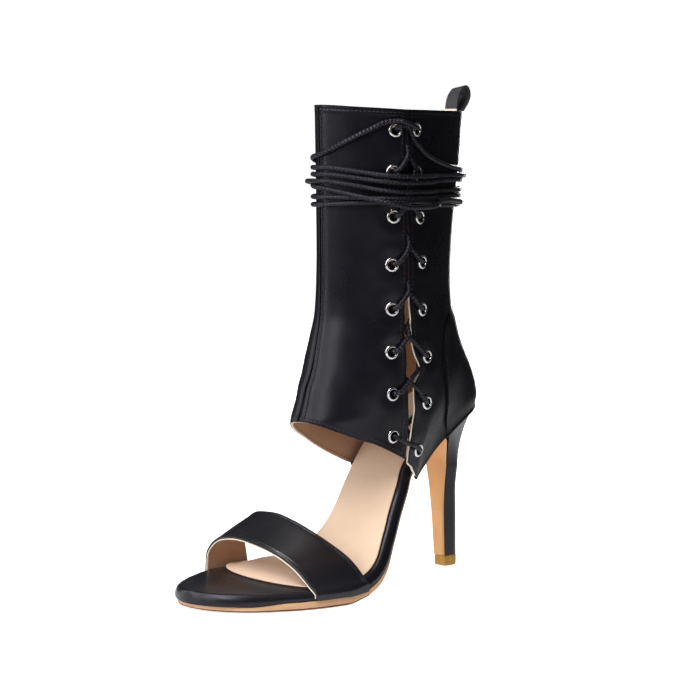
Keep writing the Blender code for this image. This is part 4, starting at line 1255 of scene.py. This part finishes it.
def eyelet():
    """One rolled eyelet on z: a profile spun into a ring, barrel down, flange up."""
    profile = [(EYELET_BORE, -EYELET_DEPTH), (EYELET_BORE, 0.35), (EYELET_BORE + 0.18, 0.72),
               (EYELET_BORE + 0.5, 0.92), (EYELET_BORE + 0.85, 0.9), (EYELET_FLANGE - 0.3, 0.66),
               (EYELET_FLANGE - 0.06, 0.38), (EYELET_FLANGE, 0.1), (EYELET_FLANGE - 0.15, -0.12),
               (EYELET_BARREL + 0.1, -0.1), (EYELET_BARREL, -0.3), (EYELET_BARREL, -EYELET_DEPTH)]
    mesh = bpy.data.meshes.new("eyelet")
    mesh.from_pydata([(r * MM, 0.0, h * MM) for r, h in profile],
                     [(i, (i + 1) % len(profile)) for i in range(len(profile))], [])
    obj = bpy.data.objects.new("eyelet", mesh)
    bpy.context.scene.collection.objects.link(obj)
    pick_only(obj)
    bpy.ops.object.mode_set(mode="EDIT")
    bpy.ops.mesh.select_all(action="SELECT")
    bpy.ops.mesh.spin(steps=32, angle=math.radians(360), center=(0, 0, 0), axis=(0, 0, 1))
    bpy.ops.mesh.select_all(action="SELECT")
    bpy.ops.mesh.remove_doubles(threshold=1e-6)
    bpy.ops.mesh.normals_make_consistent(inside=False)
    bpy.ops.object.mode_set(mode="OBJECT")
    mesh.materials.append(NICKEL)
    mesh.materials.append(BORE)
    # faces inside the bore get the near-black bore metal: painted shade inside the hole
    for face in mesh.polygons:
        if face.center.xy.length < (EYELET_BORE + 0.05) * MM and face.center.z < 0.3 * MM:
            face.material_index = 1
    return obj


pattern = eyelet()
for (row, back), (place, normal, _) in PLACES.items():
    label = f"{'back' if back else 'front'}_{row + 1}"
    ring = pattern.copy()
    ring.data = pattern.data.copy()
    ring.name = "ring_" + label
    bpy.context.scene.collection.objects.link(ring)
    ring.data.transform(seat_matrix(place, normal, -0.22))
    dress(ring, ["eyelet_" + label], 50.0)
bpy.data.objects.remove(pattern, do_unlink=True)


# sole

def stations(start, end, count, round_start, round_end):
    """Places along the sole, closer together at its rounded ends."""
    out = [start + round_start * (1 - math.cos(a)) for a in np.linspace(0.04, 1.45, 18)]
    out += list(np.linspace(start + round_start, end - round_end, count))
    out += [end - round_end * (1 - math.sin(a)) for a in np.linspace(0.12, 1.53, 30)]
    return np.array(out)


def slab(name, low, high, grow, flare, side_line, mat, nodes, end=TOE_END_D,
         rounding=TOE_ROUND, crown=0.0, waist=0.0):
    """Sole layer between two heights over the underside, with a shaped edge.

    side_line holds (inset, share of height) pairs from the bottom up. grow widens the layer
    all round, flare its forepart only. crown is the rise of the top's middle, and waist how
    much is skived off the underside below the arch of the foot.
    """
    ds = stations(HEEL_END_D - grow, end + grow + flare, 60, SEAT_ROUND + grow,
                  rounding + grow + flare)
    low = low + waist * eased(ds, 30.0, 44.0) * (1 - eased(ds, 76.0, 100.0))
    ahead = np.clip((ds - 75.0) / 30.0, 0.0, 1.0)
    half = half_width(ds, grow + flare * ahead, end, rounding)
    lines = [(np.maximum(half - inset, 0.25 * half), low + (high - low) * share)
             for inset, share in side_line]
    (low_x, low_off), (top_x, top_off) = lines[0], lines[-1]
    shares = np.linspace(1, -1, 12)[1:-1]
    ring = lines + [(top_x * s, top_off + crown * (1 - s * s)) for s in shares]
    ring += [(-x, off) for x, off in lines[::-1]] + [(-low_x * s, low_off) for s in shares]
    return loft(name, np.stack([on_sole(ds, x, off) for x, off in ring], 1), mat, nodes,
                38.0)


slab("outsole", 0.0, OUTSOLE, -0.8, 1.6,
     [(0.7, 0.0), (0.25, 0.1), (0.0, 0.3), (0.0, 0.85), (0.2, 1.0)],
     TAN, ["outsole"], waist=1.5)
ROLLED_EDGE = [(0.9, 0.0), (0.35, 0.06), (0.05, 0.17), (0.0, 0.3), (0.14, 0.44), (0.5, 0.59),
               (1.1, 0.74), (1.9, 0.86), (2.8, 0.95), (3.7, 1.0)]
slab("footbed_wrap", OUTSOLE + GAP * 0.3, TOP, 0.0, 0.0, ROLLED_EDGE, BLACK_WRAP,
     ["footbed"], TOE_END_D + 3.2, TOE_ROUND + 1.5, crown=0.3)
slab("sock_lining", TOP + GAP * 0.2, TOP + GAP + INSOCK, -3.4, 0.0,
     [(0.25, 0.0), (0.0, 0.25), (0.0, 0.6), (0.25, 0.85), (0.7, 1.0)], SOCK,
     ["insock"], INSOCK_END_D, INSOCK_ROUND, crown=0.35)
slab("sock_cut_edge", TOP + GAP * 0.2, TOP + GAP + INSOCK * 0.6, -3.1, 0.0,
     [(0.1, 0.0), (0.0, 0.5), (0.25, 1.0)], DYED, (), INSOCK_END_D, INSOCK_ROUND)


def rounded_front(grow, end, rounding, start, count):
    """Stations up to the tip of a rounded front, spaced as an arc, and the half widths there."""
    turn = np.linspace(start, 1.55, count)
    ds = end + grow - (rounding + grow) * (1 - np.sin(turn))
    return ds, half_width(ds, grow, end, rounding)


def sole_line(ds, half, height):
    """Line at a height of the sole, round the front from the outer to the inner side."""
    return np.concatenate([on_sole(ds, half, height), on_sole(ds, -half, height)[::-1]])


ds, half = rounded_front(-3.05, INSOCK_END_D, INSOCK_ROUND, 0.3, 60)
line = sole_line(ds, half, TOP + GAP + INSOCK * 0.5)
inward = unit(np.gradient(line, axis=0)[:, (1, 0, 2)] * (1.0, -1.0, 0.0))
stitches("sock_front_stitching", [(line, inward)], 1.7, 1.0, 0.6, 0.3)

ds, half = rounded_front(0.35, TOE_END_D, TOE_ROUND, 0.0, 90)
straight = np.linspace(105.0, ds[0], 20)[:-1]
ds = np.concatenate([straight, ds])
half = np.concatenate([half_width(straight, 0.35), half])
# painted shadow along the edge of the tread, where the sole meets the floor: a thin dark bead
# resting on the underside's level
SHADOW_BEAD = 0.5
tube("outsole_painted_contact_shadow", sole_line(ds, half, SHADOW_BEAD), SHADOW_BEAD, SOLE_CONTACT_SHADOW,
     sides=8)


# heel, breast and tip

SHARES_ACROSS = np.linspace(1.0, -1.0, 15)
HEEL_TURNS = np.linspace(-1.0, 1.0, 33)

# the heel's seat: inset from the leather's outside, drop under the sole, inset of the breast
HEEL_INSET = 0.7
SEAT_DROP = GAP + 0.25
BREAST_INSET = 0.8


def heel_level(z, back, breast, half, breast_half):
    """Rounded back and flat breast of the heel at one height."""
    middle = (breast + back) / 2
    a = HEEL_TURNS * math.pi / 2
    round_back = np.stack([-half * np.sin(a), middle - (middle - back) * np.cos(a), z + 0 * a], 1)
    breast_line = np.stack([-breast_half * SHARES_ACROSS, breast + 0 * SHARES_ACROSS,
                            z + 0 * SHARES_ACROSS], 1)
    return round_back, breast_line


def heel_seat():
    """Back and hollowed breast of the heel where it meets the sole."""
    grow = GAP + WALL - HEEL_INSET
    end = HEEL_END_D - grow
    run = SEAT_CORNER_D - end
    d = end + run * (1 - np.cos(HEEL_TURNS * math.pi / 2))
    x = -np.sign(HEEL_TURNS) * half_width(d, grow)
    round_back = np.stack([x, d, sole_z(d) - SEAT_DROP], 1)
    corner = half_width(SEAT_CORNER_D, grow) - BREAST_INSET
    d = SEAT_CORNER_D + BREAST_INSET - SEAT_HOLLOW * (1 - SHARES_ACROSS ** 2)
    breast_line = np.stack([-corner * SHARES_ACROSS, d, sole_z(d) - SEAT_DROP], 1)
    return round_back, breast_line


def heel_levels():
    """Levels of the heel's stem, and above them a mix of its top and the seat."""
    levels = [heel_level(z, *(read(HEEL, c, z) for c in range(1, 5)))
              for z in np.linspace(HEEL[0, 0], HEEL[-1, 0], 22)]
    base, seat = levels[-1], heel_seat()
    for share in np.linspace(0.05, 1.0, 24):
        spreading = share ** 1.9
        mix = np.array([spreading, spreading, share])
        levels.append(tuple(b + (s - b) * mix for b, s in zip(base, seat)))
    return levels


HEEL_LEVELS = heel_levels()
loft("heel_wrap", [np.concatenate([back, line]) for back, line in HEEL_LEVELS], BLACK_GLOSS,
     ["heel"], 50.0)
# the cover's sides draw in over the last nine levels, towards its apex under the seat
cover_rings = []
for i, (_, line) in enumerate(HEEL_LEVELS):
    trim = 0.5 * max(0.0, (i + 10 - len(HEEL_LEVELS)) / 9) ** 2.2
    inner = line * (0.93 - trim, 1.0, 1.0) + (0.0, GAP * 0.4, 0.0)
    front = line * (0.86 - trim, 1.0, 1.0) + (0.0, GAP + BREAST_SKIN, 0.0)
    for edge in (inner, front):
        edge[:, 2] = np.minimum(edge[:, 2], sole_z(edge[:, 1]) - 2.6 * GAP)
    cover_rings.append(np.concatenate([inner, front[::-1]]))
loft("heel_breast_cover", cover_rings, BREAST, ["heel_breast"], 50.0)

tip_rings = []
for z, grow in ((0.0, -0.5), (0.25, -0.15), (0.7, 0.1), (3.0, 0.15), (TIP_HEIGHT - 0.5, 0.12),
                (TIP_HEIGHT - 0.1, -0.1)):
    _, back, breast, half, breast_half = HEEL[0]
    back_line, line = heel_level(z, back - grow, breast + grow, half + grow, breast_half + grow)
    tip_rings.append(np.concatenate([back_line, line]))
loft("heel_tip_rubber", tip_rings, RUBBER, ["heel_tip"], 40.0)


# toe strap

# how much further out the strap's inner front end stands
STRAP_SPREAD = 1.2


def strap_grid(across, shares):
    """Outside of the strap: rows from its rear to its front edge, columns across the foot.

    The ends of each row go down beside the footbed.
    """
    run = np.linspace(0, 1, len(STRAP))
    rows = []
    for v in shares:
        line = STRAP[:, :3] * (1 - v) + STRAP[:, 3:] * v
        for row, side, height in ((0, 1, OUTSOLE + 2 * GAP), (1, 1, TOP - 1.2),
                                  (-1, -1, OUTSOLE + 2 * GAP), (-2, -1, TOP - 1.2)):
            d = line[row, 0]
            x = centre_x(d) + side * (half_width(d) + GAP + 0.2 + STRAP_WALL)
            x = x - STRAP_SPREAD * v * (side < 0)
            line[row] = (d, x, sole_z(d) + laid(height, d, x - centre_x(d)))
        curve = np.stack([pchip(run, line[:, c], across) for c in (1, 0, 2)], 1)
        rows.append(averaged(curve, 4))
    return np.array(rows)


across = np.linspace(0, 1, 121)
lengthways = spaced_marks([0.0, 1.0], 0.012, 0.035)
face = strap_grid(across, lengthways)
outward = -grid_normals(face)
width = np.linalg.norm(face[-1] - face[0], axis=1)[None, :]
to_edge = np.minimum(lengthways[:, None], 1 - lengthways[:, None]) * width
ends = np.minimum(across, 1 - across)[None, :]
swell = 0.26 * (1 - eased(to_edge, 1.9, 2.9)) - 0.22 * trough(to_edge - STRAP_STITCH, 0.36)
swell = swell + 0.35 * np.sin(np.pi * lengthways)[:, None] * eased(ends, 0.05, 0.3)
sheet("toe_strap_leather", face + outward * swell[..., None],
      face - outward * 0.9, BLACK_SOFT, ["toe_strap"], 0.32)
inner, inner_out = face[1:-1], outward[1:-1]
sheet("toe_strap_lining", inner - inner_out * 0.95, inner - inner_out * STRAP_WALL, LINING,
      (), 0.15)

edge_line = face[-1, 4:-4] - outward[-1, 4:-4] * 1.3
tube("toe_strap_raw_edge", edge_line, 0.3, RAW, sides=8)

strap_rows = []
for v_edge, sign in ((0.0, 1), (1.0, -1)):
    lines, normals = [], []
    for j in range(6, len(across) - 6):
        v = v_edge + sign * STRAP_STITCH / width[0, j]
        normal = unit(picked(outward[:, j], lengthways, v))
        lift = np.interp(v, lengthways, swell[:, j]) + 0.03
        lines.append(picked(face[:, j], lengthways, v) + normal * lift)
        normals.append(normal)
    strap_rows.append((np.array(lines), np.array(normals)))
stitches("toe_strap_stitching", strap_rows, mat=BLACK)


# pull loop

def loop_route():
    """Middle line of the band in the d-z plane, from inside the rim round to the outside."""
    z_rim = top(2.0)
    back = surface(2.0, z_rim - 2.0)
    inside = back[1] + WALL + GAP + LOOP_BAND / 2 + 0.05
    outside = back[1] - GAP - LOOP_BAND / 2 - 0.1
    shape = [(0.5, -9.0), (0.0, 0.0), (-0.3, 4.2), (-1.1, 7.7), (-2.4, 10.5), (-4.4, 13.0),
             (-6.7, 14.6), (-9.0, 14.1), (-10.5, 11.9), (-10.9, 9.2), (-10.0, 6.7), (-8.1, 4.0),
             (-5.8, 1.5)]
    route = [(inside + d, z_rim + z) for d, z in shape]
    route += [(outside, z_rim - 0.6), (outside, z_rim - 2.4)]
    return smoothed(np.array([(0.0, d, z) for d, z in route]), 0.5, 1.4)


route = loop_route()
tangent = unit(np.gradient(route, axis=0))
side = tangent[:, (0, 2, 1)] * (0.0, -1.0, 1.0)
half, thick = LOOP_WIDTH / 2, LOOP_BAND / 2
band_edge = [(0.0, 0.6), (0.25, 1.0), (1.6, 0.86), (2.6, 1.0)]
band_face = [(inset - half, -share) for inset, share in band_edge] + [(0.0, -1.0)]
band_face += [(half - inset, -share) for inset, share in band_edge[::-1]]
band_outline = band_face + [(-x, -share) for x, share in band_face]
lean = 1.6 * np.clip((route[:, 2] - top(2.0)) / 14.0, 0.0, 1.0)


def across_band(x):
    """Line of the band at a distance from its middle, leaning down on the inner side."""
    line = route + (x, 0.0, 0.0)
    line[:, 2] -= lean * (0.5 - x / LOOP_WIDTH)
    return line


rings = np.stack([across_band(x) + side * (t * thick) for x, t in band_outline], 1)
# the band's lighter grey is painted sheen
loft("pull_loop_band", rings, SHEEN_CALF, ["pull_loop"], 50.0)
foot = route[np.argmin(abs(route[:40, 2] - top(2.0) - 0.7))]
foot_rings = [[(x, foot[1] + 0.55, foot[2] - 0.5), (x, foot[1] + 1.15, foot[2] - 0.5),
               (x, foot[1] + 1.15, foot[2] + 0.45), (x, foot[1] + 0.55, foot[2] + 0.6)]
              for x in (-half - 0.2, half + 0.2)]
loft("loop_foot_edge", foot_rings, RAW)
loop_rows = []
for x in (-half + LOOP_STITCH, half - LOOP_STITCH):
    for face_sign in (-1, 1):
        line = (across_band(x) + side * face_sign * thick * 0.93)[24:-10]
        loop_rows.append((line, side[24:-10] * face_sign))
stitches("pull_loop_stitching", loop_rows, 2.0, 1.5, 0.36, 0.3)


# floor and light

bpy.ops.object.select_all(action="DESELECT")
bpy.ops.mesh.primitive_plane_add(size=24.0, location=(0.0, 0.0, -0.0002))
floor = bpy.context.object
floor.name = "floor"
look = Look(bpy.data.materials.new("pale_floor"))
floor.data.materials.append(
    look.finished(Base_Color=(0.86, 0.86, 0.86, 1.0), Roughness=0.8, Specular_IOR_Level=0.1))
place = look.place()
away = look.add("VectorMath", place)
away.operation = "LENGTH"
distance = away.outputs["Value"]
# as seen: white, a little brighter with the distance from the boot
glow = look.add("Emission", Strength=look.spread(distance, 0.8, 1.05, 0.22, 1.5))
bright = look.add("AddShader", glow.outputs["Emission"],
                  look.nodes["Principled BSDF"].outputs["BSDF"])
# as it lights the boot: pale near it, dark further out, with a soft bounce under the arch
dim = look.add("BsdfDiffuse", Color=look.spread(distance, 0.88, 0.12, 0.2, 0.8))
from_arch = look.add("VectorMath", place)
from_arch.operation = "DISTANCE"
from_arch.inputs[1].default_value = (0.0, 0.09, 0.0)
bounce = look.add("Emission",
                  Strength=look.spread(from_arch.outputs["Value"], 0.46, 0.0, 0.04, 0.13))
soft = look.add("AddShader", bounce.outputs["Emission"], dim.outputs["BSDF"])
is_seen = look.add("LightPath").outputs["Is Camera Ray"]
pick = look.add("MixShader", is_seen, soft.outputs["Shader"], bright.outputs["Shader"])
look.feed(look.nodes["Material Output"], Surface=pick.outputs["Shader"])

studio = bpy.data.worlds.new("studio")
bpy.context.scene.world = studio
look = Look(studio)
seen = look.nodes["Background"]
look.feed(seen, Color=(1.0, 1.0, 1.0, 1.0), Strength=1.05)
lit = look.add("Background", Color=(0.96, 0.97, 1.0, 1.0), Strength=0.05)
is_seen = look.add("LightPath").outputs["Is Camera Ray"]
pick = look.add("MixShader", is_seen, lit.outputs["Background"], seen.outputs["Background"])
look.feed(look.nodes["World Output"], Surface=pick.outputs["Shader"])


def soft_light(name, place, aim, width, height, power):
    """Rectangular lamp aimed at a point; metres and watts."""
    data = bpy.data.lights.new(name, "AREA")
    data.shape = "RECTANGLE"
    data.size, data.size_y, data.energy = width, height, power
    lamp = bpy.data.objects.new(name, data)
    bpy.context.scene.collection.objects.link(lamp)
    lamp.location = place
    lamp.rotation_euler = (Vector(aim) - Vector(place)).to_track_quat("-Z", "Y").to_euler()


for lamp in (("softbox_left", (-0.62, -1.38, 0.70), (0.0, 0.0, 0.35), 0.30, 1.35, 9.0),
             ("softbox_front", (0.05, -1.50, 0.62), (0.0, 0.0, 0.16), 0.55, 0.5, 5.0),
             ("softbox_rear", (-0.75, 1.30, 0.55), (0.0, 0.0, 0.2), 0.22, 1.2, 15.0),
             ("softbox_high", (0.40, -1.10, 1.35), (0.0, -0.03, 0.05), 0.9, 0.7, 13.5),
             ("softbox_above", (-0.35, -0.60, 1.50), (0.0, -0.02, 0.05), 0.7, 0.7, 5.0),
             ("striplight_above", (0.15, -0.35, 1.30), (0.0, 0.0, 0.05), 0.08, 1.2, 8.0),
             ("softbox_side", (-1.45, -0.50, 0.42), (0.0, 0.0, 0.2), 0.30, 0.9, 2.5),
             ("softbox_low", (0.42, -0.06, 0.035), (0.0, 0.11, 0.045), 0.5, 0.06, 0.2)):
    soft_light(*lamp)
